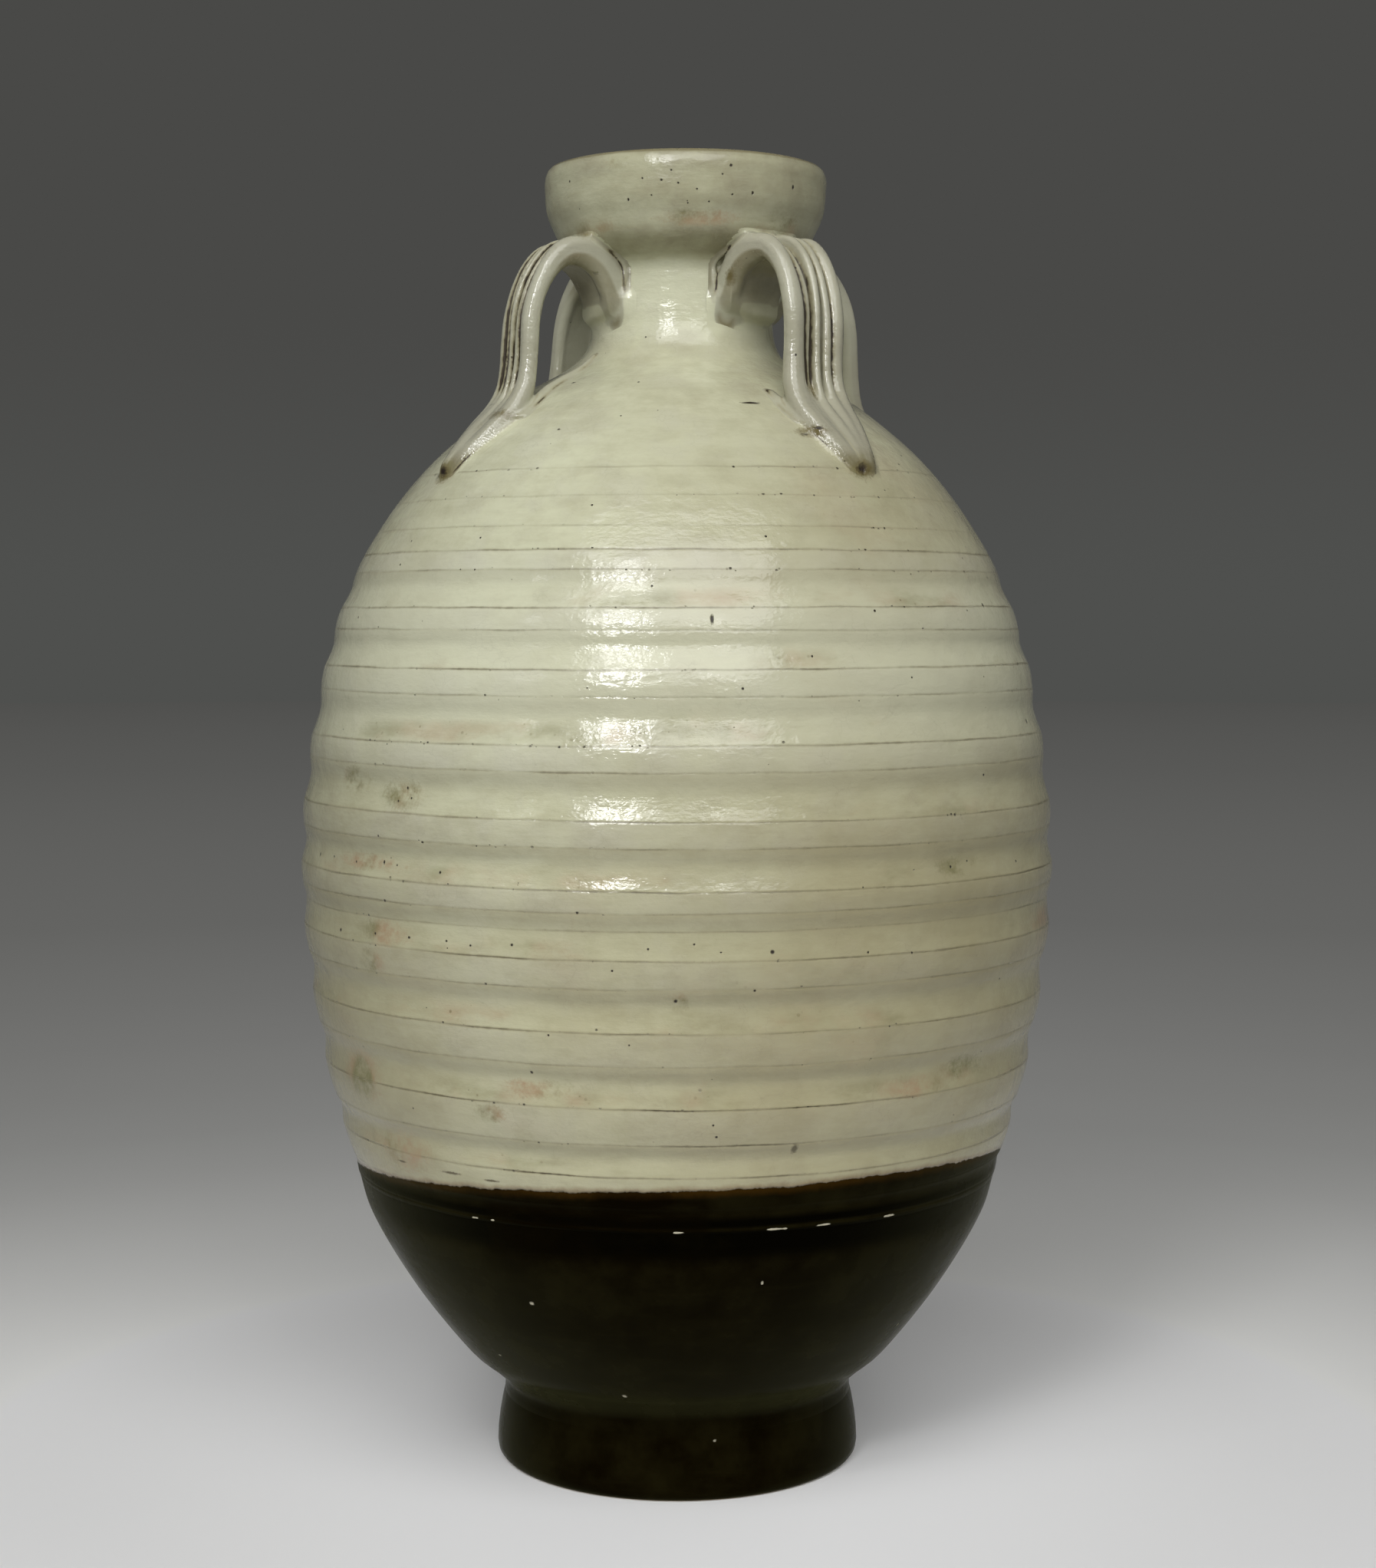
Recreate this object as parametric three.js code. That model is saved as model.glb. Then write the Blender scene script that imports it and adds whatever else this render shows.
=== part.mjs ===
// Stoneware vase with four strap handles: a turned foot, a wheel-thrown body with
// throwing ribs, a short neck, a cup-shaped mouth, and handles of five rolled strands.
// Millimetres, +Z up, origin at the centre of the foot's resting face.
import * as THREE from "three";

// The thrown sections stand on each other, so each has its own height.
const footHeight = 16;
const lowerBodyHeight = 59.6;
const bellySectionHeight = 159.4;
const shoulderSectionHeight = 45.6;
const neckSectionHeight = 26.4;
const cupDepth = 26;

// Outside radii, and how far the widest and narrowest turns lie from a joint.
const footRadius = 46.8;
const footWaistRadius = 44.8;
const glazeLineRadius = 82.4;
const bellyRadius = 97.3;
const bellyRise = 77.4;
const shoulderRadius = 79.5;
const neckBaseRadius = 30;
const neckRadius = 23.4;
const neckWaistDrop = 5;
const neckTopRadius = 24.3;
const cupRadius = 36.8;
const lipDrop = 5.4;

// Walls, the recess under the foot, and the floor.
const footWall = 8.5;
const footBevel = 1.2;
const recessDepth = 8;
const baseThickness = 10;
const floorRounding = 10;
const lowerWall = 7.5;
const upperWall = 6;
const neckWall = 5;
const neckBlend = 12;
const cupFloorThickness = 7;
const lipWall = 4.2;
const lipRounding = 1.4;

// The mouth was set on a little to one side while the clay was soft.
const mouthLean = 2.2;
const leanBearing = 55;

// Throwing ribs: flat-topped waves whose spacing widens towards the foot.
const topRibDrop = 5.1;
const ribFirstPitch = 14.2;
const ribPitchGrowth = 0.5;
const ribDepth = 0.8;
const ribPlateau = 0.42;
const ribFade = 4;

// Handles, as bearings round the vase from +X, how broad each strap was pulled, and the
// sizes of one strap.
const handleBearings = { east: 7, north: 86, west: 184, south: 268 };
const handleBreadths = { east: 1.24, north: 1, west: 0.88, south: 0.95 };
const edgeStrandWidth = 3.8;
const sideStrandWidth = 2.3;
const middleStrandWidth = 1.9;
const edgeStrandThickness = 4.2;
const innerStrandThickness = 3.8;
const loopSpan = 19;
const loopRise = 2.6;
const rootDrop = 16;
const seatDrop = 15;
const seatLift = 4.4;
const rootPadThickness = 3.4;
const rootPadHalfWidth = 6.4;
const rootPadHeight = 13.5;
const rootPadDrop = 4.5;
const rootPadTaper = 0.75;
const tailStep = 2.6;
const tailLength = 11;
const tailThickness = 3.8;
const tailTipHalfWidth = 1.6;
const tailTipThickness = 1.1;

// Pieces that are luted together keep this clearance.
const jointGap = 0.3;
const turnSegments = 40;
const strandSteps = 18;
const padSteps = 5;
const tau = Math.PI * 2;

// Heights of the joints and turns above the table.
const glazeLineHeight = footHeight + lowerBodyHeight;
const shoulderHeight = glazeLineHeight + bellySectionHeight;
const neckBaseHeight = shoulderHeight + shoulderSectionHeight;
const cupJointHeight = neckBaseHeight + neckSectionHeight;
const totalHeight = cupJointHeight + cupDepth;
const lipHeight = totalHeight - lipDrop;

const creamGlaze = { color: 0xc9c8a8, roughness: 0.2, metalness: 0 };
const darkGlaze = { color: 0x17140b, roughness: 0.18, metalness: 0 };

const smooth = (t) => THREE.MathUtils.smoothstep(t, 0, 1);
const point = (r, z) => new THREE.Vector2(r, z);

// Points between two turns of a line, as shares of the way out and of the way up.
function between(from, to, shares) {
  return shares.map(([out, up]) =>
    point(from.x + (to.x - from.x) * out, from.y + (to.y - from.y) * up),
  );
}

// Outside line of the vase from the foot's waist to the lip, without the ribs.
const waist = point(footWaistRadius, footHeight);
const glazeLine = point(glazeLineRadius, glazeLineHeight);
const widest = point(bellyRadius, glazeLineHeight + bellyRise);
const shoulderTurn = point(shoulderRadius, shoulderHeight);
const neckBase = point(neckBaseRadius, neckBaseHeight);
const neckWaist = point(neckRadius, cupJointHeight - neckWaistDrop);
const neckTop = point(neckTopRadius, cupJointHeight);
const lip = point(cupRadius, lipHeight);
const outline = new THREE.SplineCurve([
  waist,
  ...between(waist, glazeLine, [[0.293, 0.227], [0.617, 0.493], [0.894, 0.792]]),
  glazeLine,
  ...between(glazeLine, widest, [[0.6, 0.377], [0.943, 0.767]]),
  widest,
  ...between(widest, shoulderTurn, [[0.098, 0.317], [0.46, 0.707]]),
  shoulderTurn,
  ...between(shoulderTurn, neckBase, [[0.296, 0.443], [0.678, 0.796]]),
  neckBase,
  ...between(neckBase, neckWaist, [[0.864, 0.346]]),
  neckWaist,
  neckTop,
  ...between(neckTop, lip, [[0.584, 0.233], [0.768, 0.437], [0.952, 0.704]]),
  lip,
]);
const outlineSamples = outline.getPoints(600);

function smoothRadius(z) {
  const above = outlineSamples.findIndex((p) => p.y >= z);
  if (above <= 0) return above ? cupRadius : footWaistRadius;
  const [a, b] = [outlineSamples[above - 1], outlineSamples[above]];
  return a.x + ((b.x - a.x) * (z - a.y)) / (b.y - a.y);
}

// Slope of the outside line: how much the radius grows for each millimetre of height.
const slopeAt = (z) => (smoothRadius(z + 1) - smoothRadius(z - 1)) / 2;

// Height and spacing of each rib's crest, from the highest rib down to the glaze line.
function ribCrests() {
  const crests = [];
  let height = shoulderHeight - topRibDrop;
  let pitch = ribFirstPitch;
  while (height > glazeLineHeight + ribFirstPitch / 2) {
    crests.push({ height, pitch });
    height -= pitch;
    pitch += ribPitchGrowth;
  }
  return crests;
}
const ribs = ribCrests();

function ribRise(z) {
  let rise = 0;
  for (const rib of ribs) {
    const away = Math.abs(z - rib.height) / rib.pitch;
    const slope = (away - ribPlateau / 2) / (0.5 - ribPlateau / 2);
    rise = Math.max(rise, ribDepth * (1 - smooth(slope)));
  }
  return rise - ribDepth / 2;
}

// The ribs fade out at the glaze line and again above the shoulder joint.
function ribShare(z) {
  const aboveGlazeLine = smooth((z - glazeLineHeight) / ribFade);
  const belowShoulder = smooth((shoulderHeight + ribFade - z) / ribFade);
  return aboveGlazeLine * belowShoulder;
}
const outerRadius = (z) => smoothRadius(z) + ribShare(z) * ribRise(z);

function wallAt(z) {
  if (z < widest.y) return lowerWall;
  const up = Math.min(1, (z - widest.y) / (neckBaseHeight - widest.y));
  const body = lowerWall + (upperWall - lowerWall) * up;
  return body + (neckWall - upperWall) * smooth((z - neckBaseHeight) / neckBlend);
}

// Inside radius, measured square to the outside line so the wall stays even.
const innerRadius = (z) => smoothRadius(z) - wallAt(z) * Math.hypot(1, slopeAt(z));

// Shifts a point sideways with the lean of the neck and mouth.
function lean(x, y, z) {
  const share = smooth((z - shoulderHeight) / (lipHeight - shoulderHeight));
  const bearing = THREE.MathUtils.degToRad(leanBearing);
  const shift = mouthLean * share;
  return [x + shift * Math.cos(bearing), y + shift * Math.sin(bearing), z];
}

function leaned(geometry) {
  const position = geometry.getAttribute("position");
  for (let i = 0; i < position.count; i++) {
    position.setXYZ(i, ...lean(position.getX(i), position.getY(i), position.getZ(i)));
  }
  geometry.computeVertexNormals();
  return geometry;
}

// A ring or bowl turned round the vase's axis from its half-section.
function turned(section) {
  const lathe = new THREE.LatheGeometry(section, turnSegments);
  return leaned(lathe.rotateX(Math.PI / 2));
}

const heights = (from, to, count) =>
  Array.from({ length: count + 1 }, (_, i) => from + ((to - from) * i) / count);

const closed = (points) => [...points, points[0].clone()];

function footRing() {
  const top = footHeight - jointGap / 2;
  const inner = footRadius - footWall;
  return turned(
    closed([
      point(inner, footBevel),
      point(inner + footBevel, 0),
      point(footRadius - footBevel, 0),
      point(footRadius, footBevel),
      point(footWaistRadius, top),
      point(inner, top),
    ]),
  );
}

// Bowl-shaped lower body; its turned spigot seats inside the foot ring.
function lowerBody() {
  const spigot = footRadius - footWall - jointGap;
  const bottom = footHeight + jointGap / 2;
  const top = glazeLineHeight - jointGap / 2;
  const floor = recessDepth + baseThickness;
  const wallFoot = floor + floorRounding;
  return turned([
    point(0, recessDepth),
    point(spigot, recessDepth),
    point(spigot, bottom),
    ...heights(bottom, top, 10).map((z) => point(outerRadius(z), z)),
    ...heights(top, wallFoot, 7).map((z) => point(innerRadius(z), z)),
    point(innerRadius(wallFoot) - 0.9 * floorRounding, floor + floorRounding / 4),
    point(innerRadius(wallFoot) - 2 * floorRounding, floor),
    point(0, floor),
  ]);
}

// Wall between two joints, with a level wherever a rib turns and even steps above the ribs.
function wallRing(from, to, innerSteps, plainSteps) {
  const low = from + jointGap / 2;
  const high = to - jointGap / 2;
  const turns = ribs.flatMap(({ height, pitch }) => [
    height - pitch / 2,
    height - (pitch * ribPlateau) / 2,
    height + (pitch * ribPlateau) / 2,
  ]);
  const clear = 3 * jointGap;
  const inRing = turns.filter((z) => z > low + clear && z < high - clear).sort((a, b) => a - b);
  const lastTurn = inRing.at(-1) ?? low;
  const plain = heights(low, high, plainSteps).filter((z) => z > lastTurn + clear);
  return turned(
    closed([
      ...[low, ...inRing, ...plain].map((z) => point(outerRadius(z), z)),
      ...heights(high, low, innerSteps).map((z) => point(innerRadius(z), z)),
    ]),
  );
}

function mouthCup() {
  const low = cupJointHeight + jointGap / 2;
  const throat = point(neckRadius - neckWall, cupJointHeight + cupFloorThickness);
  const innerLip = point(cupRadius - lipWall, totalHeight);
  return turned(
    closed([
      point(throat.x, low),
      ...heights(low, lipHeight, 8).map((z) => point(outerRadius(z), z)),
      point(cupRadius - lipRounding / 3, totalHeight - lipRounding),
      point(cupRadius - lipWall / 2, totalHeight),
      ...between(throat, innerLip, [[1.02, 0.926], [0.958, 0.42], [0.718, 0.158], [0.282, 0]]),
    ]),
  );
}

// Centre line of a strap, as radius and height: up the neck, over, down to the shoulder.
const halfStrap = edgeStrandThickness / 2;
const rootFace = neckRadius + jointGap + rootPadThickness;
const rootEnd = point(rootFace + jointGap + halfStrap, cupJointHeight - rootDrop);
const crown = point(rootEnd.x + loopSpan, cupJointHeight + loopRise);
const outerLeg = point(crown.x, rootEnd.y);
const seatHeight = neckBaseHeight - seatDrop;
const seat = point(smoothRadius(seatHeight) + seatLift, seatHeight);
const strapLine = new THREE.SplineCurve([
  rootEnd,
  ...between(rootEnd, crown, [[0, 0.41], [0.11, 0.86], [0.41, 1], [0.68, 0.85], [0.87, 0.56]]),
  ...between(rootEnd, crown, [[0.98, 0.15]]),
  ...between(outerLeg, seat, [[0, 0.2], [0.14, 0.47], [0.45, 0.71]]),
  seat,
]);

const strands = [
  { width: edgeStrandWidth, thickness: edgeStrandThickness },
  { width: sideStrandWidth, thickness: innerStrandThickness },
  { width: middleStrandWidth, thickness: innerStrandThickness },
  { width: sideStrandWidth, thickness: innerStrandThickness },
  { width: edgeStrandWidth, thickness: edgeStrandThickness },
];
const strapWidth = (sizes) => sizes.reduce((sum, { width }) => sum + width + jointGap, -jointGap);

// One rolled strand with a rounded section, in the plane of its own bearing.
function strand(offset, { width, thickness }, bearing) {
  const path = new THREE.CatmullRomCurve3(
    strapLine.getPoints(40).map((p) => new THREE.Vector3(p.x, 0, p.y)),
  );
  const oval = new THREE.Shape();
  oval.absellipse(0, 0, width / 2, thickness / 2, 0, tau);
  const section = new THREE.Shape(oval.getPoints(4).slice(0, -1));
  const settings = { steps: strandSteps, bevelEnabled: false, extrudePath: path };
  const geometry = new THREE.ExtrudeGeometry(section, settings);
  const turn = new THREE.Matrix4().makeRotationZ(THREE.MathUtils.degToRad(bearing));
  const shift = new THREE.Matrix4().makeTranslation(0, offset, 0);
  return leaned(geometry.applyMatrix4(turn.multiply(shift)));
}

// A pad that follows the round wall. Each section is a closed row of points given by
// radius, height and distance to the side of the handle's bearing.
function pad(sections, bearing) {
  const turn = THREE.MathUtils.degToRad(bearing);
  const around = sections[0].length;
  const vertices = sections.flat().flatMap(({ radius, height, aside }) => {
    const angle = turn + aside / radius;
    return [radius * Math.cos(angle), radius * Math.sin(angle), height];
  });
  const faces = [];
  for (let s = 0; s < sections.length - 1; s++) {
    for (let i = 0; i < around; i++) {
      const a = s * around + i;
      const b = s * around + ((i + 1) % around);
      faces.push(a, b, b + around, a, b + around, a + around);
    }
  }
  const last = (sections.length - 1) * around;
  for (let i = 1; i < around - 1; i++) {
    faces.push(0, i + 1, i, last, last + i, last + i + 1);
  }
  const geometry = new THREE.BufferGeometry();
  geometry.setAttribute("position", new THREE.Float32BufferAttribute(vertices, 3));
  geometry.setIndex(faces);
  return leaned(geometry);
}

const acrossPad = [-1, -0.6, 0, 0.6, 1];
const backAcross = [...acrossPad].reverse();

// The tongue below the strands, pressed on to the shoulder and drawn to a point.
function tail(bearing, breadth) {
  const top = seatHeight - tailStep;
  const sections = heights(top, top - tailLength, padSteps).map((height, step) => {
    const share = step / padSteps;
    const half = THREE.MathUtils.lerp(breadth / 2, tailTipHalfWidth, share ** 0.8);
    const thickness = THREE.MathUtils.lerp(tailThickness, tailTipThickness, share);
    const away = new THREE.Vector2(1, -slopeAt(height)).normalize();
    const at = (aside, lift) => ({
      radius: smoothRadius(height) + away.x * lift,
      height: height + away.y * lift,
      aside: aside * half,
    });
    const crowned = (a) => jointGap + thickness * (1 - 0.55 * a * a);
    return [
      ...backAcross.map((a) => at(0.8 * a, crowned(a))),
      ...acrossPad.map((a) => at(a, jointGap)),
    ];
  });
  return pad(sections, bearing);
}

// The wad of clay that holds the strap's upper end off the neck.
function rootPad(bearing, halfWidth) {
  const top = cupJointHeight - rootPadDrop;
  const sections = heights(top, top - rootPadHeight, padSteps).map((height, step) => {
    const atEnd = step === 0 || step === padSteps;
    const half = halfWidth * (atEnd ? rootPadTaper : 1);
    const under = (a) => ({ radius: smoothRadius(height) + jointGap, height, aside: a * half });
    const over = (a) => ({
      radius: rootFace - (a * half) ** 2 / (2 * rootFace),
      height,
      aside: a * half,
    });
    return [...backAcross.map(over), ...acrossPad.map(under)];
  });
  return pad(sections, bearing);
}

function named(name, geometry, glaze) {
  const mesh = new THREE.Mesh(geometry, new THREE.MeshStandardMaterial(glaze));
  mesh.name = name;
  return mesh;
}

// The four handles stand at their own bearings; each is a group of separate solids.
function handle(side, bearing) {
  const group = new THREE.Group();
  const broad = handleBreadths[side];
  const sizes = strands.map(({ width, thickness }) => ({ width: width * broad, thickness }));
  let edge = -strapWidth(sizes) / 2;
  sizes.forEach((size, i) => {
    const solid = strand(edge + size.width / 2, size, bearing);
    group.add(named(`handle_${side}_strand_${i + 1}`, solid, creamGlaze));
    edge += size.width + jointGap;
  });
  group.add(named(`handle_${side}_root_pad`, rootPad(bearing, rootPadHalfWidth * broad), creamGlaze));
  group.add(named(`handle_${side}_tail`, tail(bearing, strapWidth(sizes)), creamGlaze));
  return group;
}

const vase = new THREE.Group();
vase.add(named("foot_ring", footRing(), darkGlaze));
vase.add(named("lower_body", lowerBody(), darkGlaze));
vase.add(named("belly", wallRing(glazeLineHeight, shoulderHeight, 9, 1), creamGlaze));
vase.add(named("shoulder", wallRing(shoulderHeight, neckBaseHeight, 7, 9), creamGlaze));
vase.add(named("neck", wallRing(neckBaseHeight, cupJointHeight, 5, 5), creamGlaze));
vase.add(named("mouth_cup", mouthCup(), creamGlaze));
for (const [side, bearing] of Object.entries(handleBearings)) vase.add(handle(side, bearing));

export default vase;
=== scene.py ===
# Four-handled stoneware vase: cream glaze over a dark glazed foot, with throwing ribs.
# Lengths are in millimetres until a mesh is made, and bearings are in degrees from +X.
import math

import bpy
import numpy as np
import openvdb
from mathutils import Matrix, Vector


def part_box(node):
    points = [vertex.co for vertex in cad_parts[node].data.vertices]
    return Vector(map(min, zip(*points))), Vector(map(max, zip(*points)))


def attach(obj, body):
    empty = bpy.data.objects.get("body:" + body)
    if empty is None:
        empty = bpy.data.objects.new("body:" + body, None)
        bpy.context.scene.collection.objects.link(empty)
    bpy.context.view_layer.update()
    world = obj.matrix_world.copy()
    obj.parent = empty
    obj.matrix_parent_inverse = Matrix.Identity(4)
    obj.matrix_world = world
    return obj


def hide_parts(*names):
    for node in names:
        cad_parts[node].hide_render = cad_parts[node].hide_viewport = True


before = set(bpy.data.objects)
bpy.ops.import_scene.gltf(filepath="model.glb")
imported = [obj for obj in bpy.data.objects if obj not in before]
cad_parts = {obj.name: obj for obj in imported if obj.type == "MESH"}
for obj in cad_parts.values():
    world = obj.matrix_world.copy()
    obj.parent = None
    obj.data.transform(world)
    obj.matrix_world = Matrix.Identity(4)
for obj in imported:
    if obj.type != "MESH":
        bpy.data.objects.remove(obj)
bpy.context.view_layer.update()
mm = 0.001
print("frame loaded")


def edge(node, end, axis=2):
    # one side of a frame node's box, in millimetres: end 0 is the low side, 1 the high side
    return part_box(node)[end][axis] / mm


# Joints between the thrown sections, halfway through the gap that the frame keeps there.
footTop = edge("foot_ring", 1) + 0.15
glazeJoint = (edge("lower_body", 1) + edge("belly", 0)) / 2
shoulderJoint = (edge("belly", 1) + edge("shoulder", 0)) / 2
neckJoint = (edge("shoulder", 1) + edge("neck", 0)) / 2
cupJoint = (edge("neck", 1) + edge("mouth_cup", 0)) / 2

wall = {
    "outline": [  # outside radius and height of the wall, from the foot's waist up
        (44.9, 16.0), (45.3, 20.0), (49.6, 24.2), (55.8, 29.6), (68.2, 45.4), (78.9, 63.2),
        (82.9, 75.6), (91.0, 104.8), (95.7, 135.0), (96.8, 153.0), (95.2, 179.0), (89.2, 211.0),
        (79.5, 235.0), (64.9, 255.2), (45.9, 271.3), (30.0, 280.6), (24.3, 288.0), (23.4, 302.0),
        (24.3, 307.0), (31.6, 311.8), (33.9, 316.0), (36.2, 321.5), (36.8, 328.0),
    ],
    "lowerThickness": 7.5,
    "upperThickness": 6.0,
    "neckThickness": 5.0,
    "lean": 2.2,
    "leanBearing": 55.0,
    "outOfRound": 0.2,
    "aroundSteps": 440,
    "rowStep": 1.4,
    "insideStep": 7.0,
    "lipBase": 328.0,
}

ribs = {
    "bands": [  # lower edge, upper edge and standing height of each flat band, from the foot up
        (73.9, 75.4, 0.3), (80.6, 87.6, 0.85), (95.4, 104.1, 1.2), (114.4, 121.9, 1.2),
        (132.1, 138.7, 1.15), (149.6, 154.4, 1.1), (163.9, 170.1, 1.15), (181.3, 187.0, 1.1),
        (198.2, 204.4, 1.0), (213.3, 218.8, 0.85), (227.4, 232.0, 0.6),
    ],
    "edgeInk": (0.58, 0.9),
    "faintLines": [(145.2, 0.45), (237.7, 0.34), (245.1, 0.26), (252.2, 0.4)],
    "edgeShare": 0.38,
    "bulgeShare": 0.14,
    "droop": 0.2,
    "troughShare": 0.6,
    "troughPlace": 0.43,
    "fade": 7.0,
    "waver": 0.3,
    "wobble": 0.12,
    "grooveDepth": 0.1,
    "rowsBeside": (-0.6, -0.22, 0.0, 0.22, 0.6),
    "stains": [  # line, bearing, half its length in degrees, and strength
        (104.1, -38.0, 6.0, 0.6), (104.1, -14.0, 5.0, 0.4), (95.4, -24.0, 11.0, 0.5),
        (163.9, -40.0, 5.0, 0.4), (181.3, -48.0, 7.0, 0.5), (121.9, -62.0, 6.0, 0.4),
        (87.6, -60.0, 8.0, 0.5), (204.4, -70.0, 9.0, 0.4),
    ],
}

glazeMeeting = {  # the cream glaze's lower edge: mean height, and tilt towards and across the view
    "mean": 78.2,
    "towards": 6.6,
    "across": 2.1,
    "waver": 0.7,
    "viewBearing": -35.0,
    "ridge": 74.6,
    "chips": [
        (-70.0, 1.0), (-66.5, 0.7), (-34.5, 1.2), (-18.5, 2.4), (-10.5, 2.0), (2.7, 1.6), (96.0, 2.0),
        (150.0, 1.2),
    ],
}

strap = {
    "bearings": {"East": 7.0, "North": 86.0, "West": 184.0, "South": 268.0},
    "centreLine": [  # radius, height, half thickness and share of the breadth, from root to tip
        (19.6, 289.0, 2.2, 0.8), (21.9, 294.6, 3.1, 0.9), (24.7, 300.3, 3.8, 0.99),
        (27.5, 304.8, 4.0, 1.04), (30.9, 307.6, 3.9, 1.04), (34.9, 308.9, 3.6, 1.03),
        (39.4, 308.2, 3.2, 1.02), (43.4, 304.5, 2.8, 1.0), (46.5, 298.8, 2.5, 1.0),
        (48.2, 292.3, 2.4, 1.0), (48.7, 285.5, 2.4, 1.0), (49.1, 279.1, 2.4, 1.0),
        (50.3, 273.3, 2.4, 1.03), (53.5, 267.9, 2.2, 1.04), (58.8, 262.6, 1.9, 0.9),
        (63.9, 257.2, 1.5, 0.62), (68.3, 251.7, 0.9, 0.3),
    ],
    "strands": {  # place across, half width, and share of the thickness and lift of each comb ridge
        "East": [
            (-6.9, 2.65, 1.0, 0.0), (-3.4, 1.5, 0.55, -0.1), (-0.1, 1.0, 0.85, 0.15),
            (3.2, 1.15, 0.85, 0.15), (6.9, 2.1, 1.0, 0.0),
        ],
        "South": [
            (4.6, 2.5, 1.0, 0.0), (1.1, 0.8, 0.75, 0.1), (-1.1, 0.75, 0.8, 0.2),
            (-3.1, 0.85, 0.78, 0.14), (-5.4, 1.6, 0.95, 0.0),
        ],
        "North": [
            (-5.3, 2.1, 1.0, 0.0), (-2.2, 1.15, 0.8, 0.14), (0.0, 0.95, 0.7, 0.1),
            (2.2, 1.15, 0.8, 0.14), (5.3, 2.1, 1.0, 0.0),
        ],
        "West": [
            (-4.7, 1.9, 1.0, 0.0), (-2.0, 1.05, 0.8, 0.14), (0.1, 0.8, 0.7, 0.1),
            (2.1, 0.95, 0.8, 0.14), (4.6, 1.9, 1.0, 0.0),
        ],
    },
    "footShift": {"East": -0.4, "North": -0.4, "West": 0.4, "South": 0.9},
    "strandBlend": 0.35,
    "tongueBlend": 2.5,
    "wallBlend": 1.6,
    "footBlend": 1.6,
    "rootBlend": 3.4,
    "slipBlend": 1.0,
    "tongueStart": 0.66,
    "fill": [(24.8, 294.0), (25.2, 302.0), (28.8, 307.2), (32.4, 310.4)],
    "fillRadius": 2.3,
    "bead": [  # slip round the root: share of the half breadth, height, distance off the wall, radius
        (0.86, 310.6, 0.2, 0.3), (0.99, 308.6, 0.3, 0.5), (1.05, 305.6, 0.35, 0.6),
        (1.05, 302.4, 0.35, 0.6), (1.02, 299.4, 0.25, 0.55), (0.97, 296.4, 0.1, 0.35),
    ],
    "smears": {  # slip wiped up the shoulder: across, height, distance off the wall, radius
        "South": [
            (9.0, 266.5, 0.0, 1.3), (7.0, 270.5, 0.1, 1.4), (3.4, 277.0, 0.0, 1.2),
            (0.8, 283.0, -0.3, 0.9),
        ],
        "East": [(-9.6, 264.5, -0.3, 1.1), (-10.0, 268.0, -0.2, 1.3), (-9.6, 272.0, -0.5, 1.0)],
        "North": [(8.2, 266.5, -0.2, 1.0), (7.6, 271.0, -0.1, 1.1), (6.6, 276.0, -0.3, 0.9)],
        "West": [(-8.0, 266.5, -0.2, 1.0), (-7.2, 272.0, -0.1, 1.1), (-5.8, 278.0, -0.3, 0.9)],
    },
    "rootEnd": (292.6, 0.3, 3.5),
    "reach": ((21.0, 72.0), (-14.0, 14.0), (247.0, 319.0)),
    "voxel": 0.38,
    "skirt": 1.2,
    "sunk": 0.03,
}


def catmullRom(points, count):
    pts = np.array(points, float)
    t = np.linspace(0, len(pts) - 1, count)
    i = np.clip(t.astype(int), 0, len(pts) - 2)
    w = (t - i)[:, None]
    p0, p1 = pts[np.maximum(i - 1, 0)], pts[i]
    p2, p3 = pts[i + 1], pts[np.minimum(i + 2, len(pts) - 1)]
    v0, v1 = (p2 - p0) / 2, (p3 - p1) / 2
    a = 2 * p1 - 2 * p2 + v0 + v1
    b = -3 * p1 + 3 * p2 - 2 * v0 - v1
    return ((a * w + b) * w + v0) * w + p1


def smoothStep(t):
    t = np.clip(t, 0.0, 1.0)
    return t * t * (3 - 2 * t)


def smoothMin(a, b, blend):
    near = np.maximum(blend - np.abs(a - b), 0) / blend
    return np.minimum(a, b) - near * near * blend / 4


def nearTo(gap, reach, full=1.0):
    # 1 where a gap closes, down to 0 at the reach
    return np.clip(full - np.abs(gap) / reach, 0, 1)


def turnFrom(bearing, middle):
    # degrees round from a middle bearing, from -180 to 180
    return (np.degrees(bearing) - middle + 180) % 360 - 180


def unit(vectors):
    return vectors / np.maximum(np.linalg.norm(vectors, axis=-1, keepdims=True), 1e-9)


outlineLine = catmullRom(wall["outline"], 2400)


def smoothRadius(z):
    return np.interp(z, outlineLine[:, 1], outlineLine[:, 0])


def wavering(bearing, seed):
    # a slow wave round the vase, from -1 to 1, different for each seed
    a, b, c = math.sin(seed * 12.9) * 9, math.sin(seed * 78.2) * 9, math.sin(seed * 37.7) * 9
    return 0.5 * np.sin(bearing + a) + 0.3 * np.sin(2 * bearing + b) + 0.2 * np.sin(3 * bearing + c)


def wobbling(bearing, seed):
    # a quick uneven wave, as a tool's edge leaves
    a, b, c = math.sin(seed * 5.3) * 9, math.sin(seed * 9.7) * 9, math.sin(seed * 3.1) * 9
    return (np.sin(11 * bearing + a) + np.sin(19 * bearing + b) + np.sin(31 * bearing + c)) / 3


def baseRadius(z, bearing):
    # the wall without its ribs, a little out of round
    return smoothRadius(z) + wall["outOfRound"] * wavering(bearing, 20) * smoothStep((z - 16) / 40)


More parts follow.
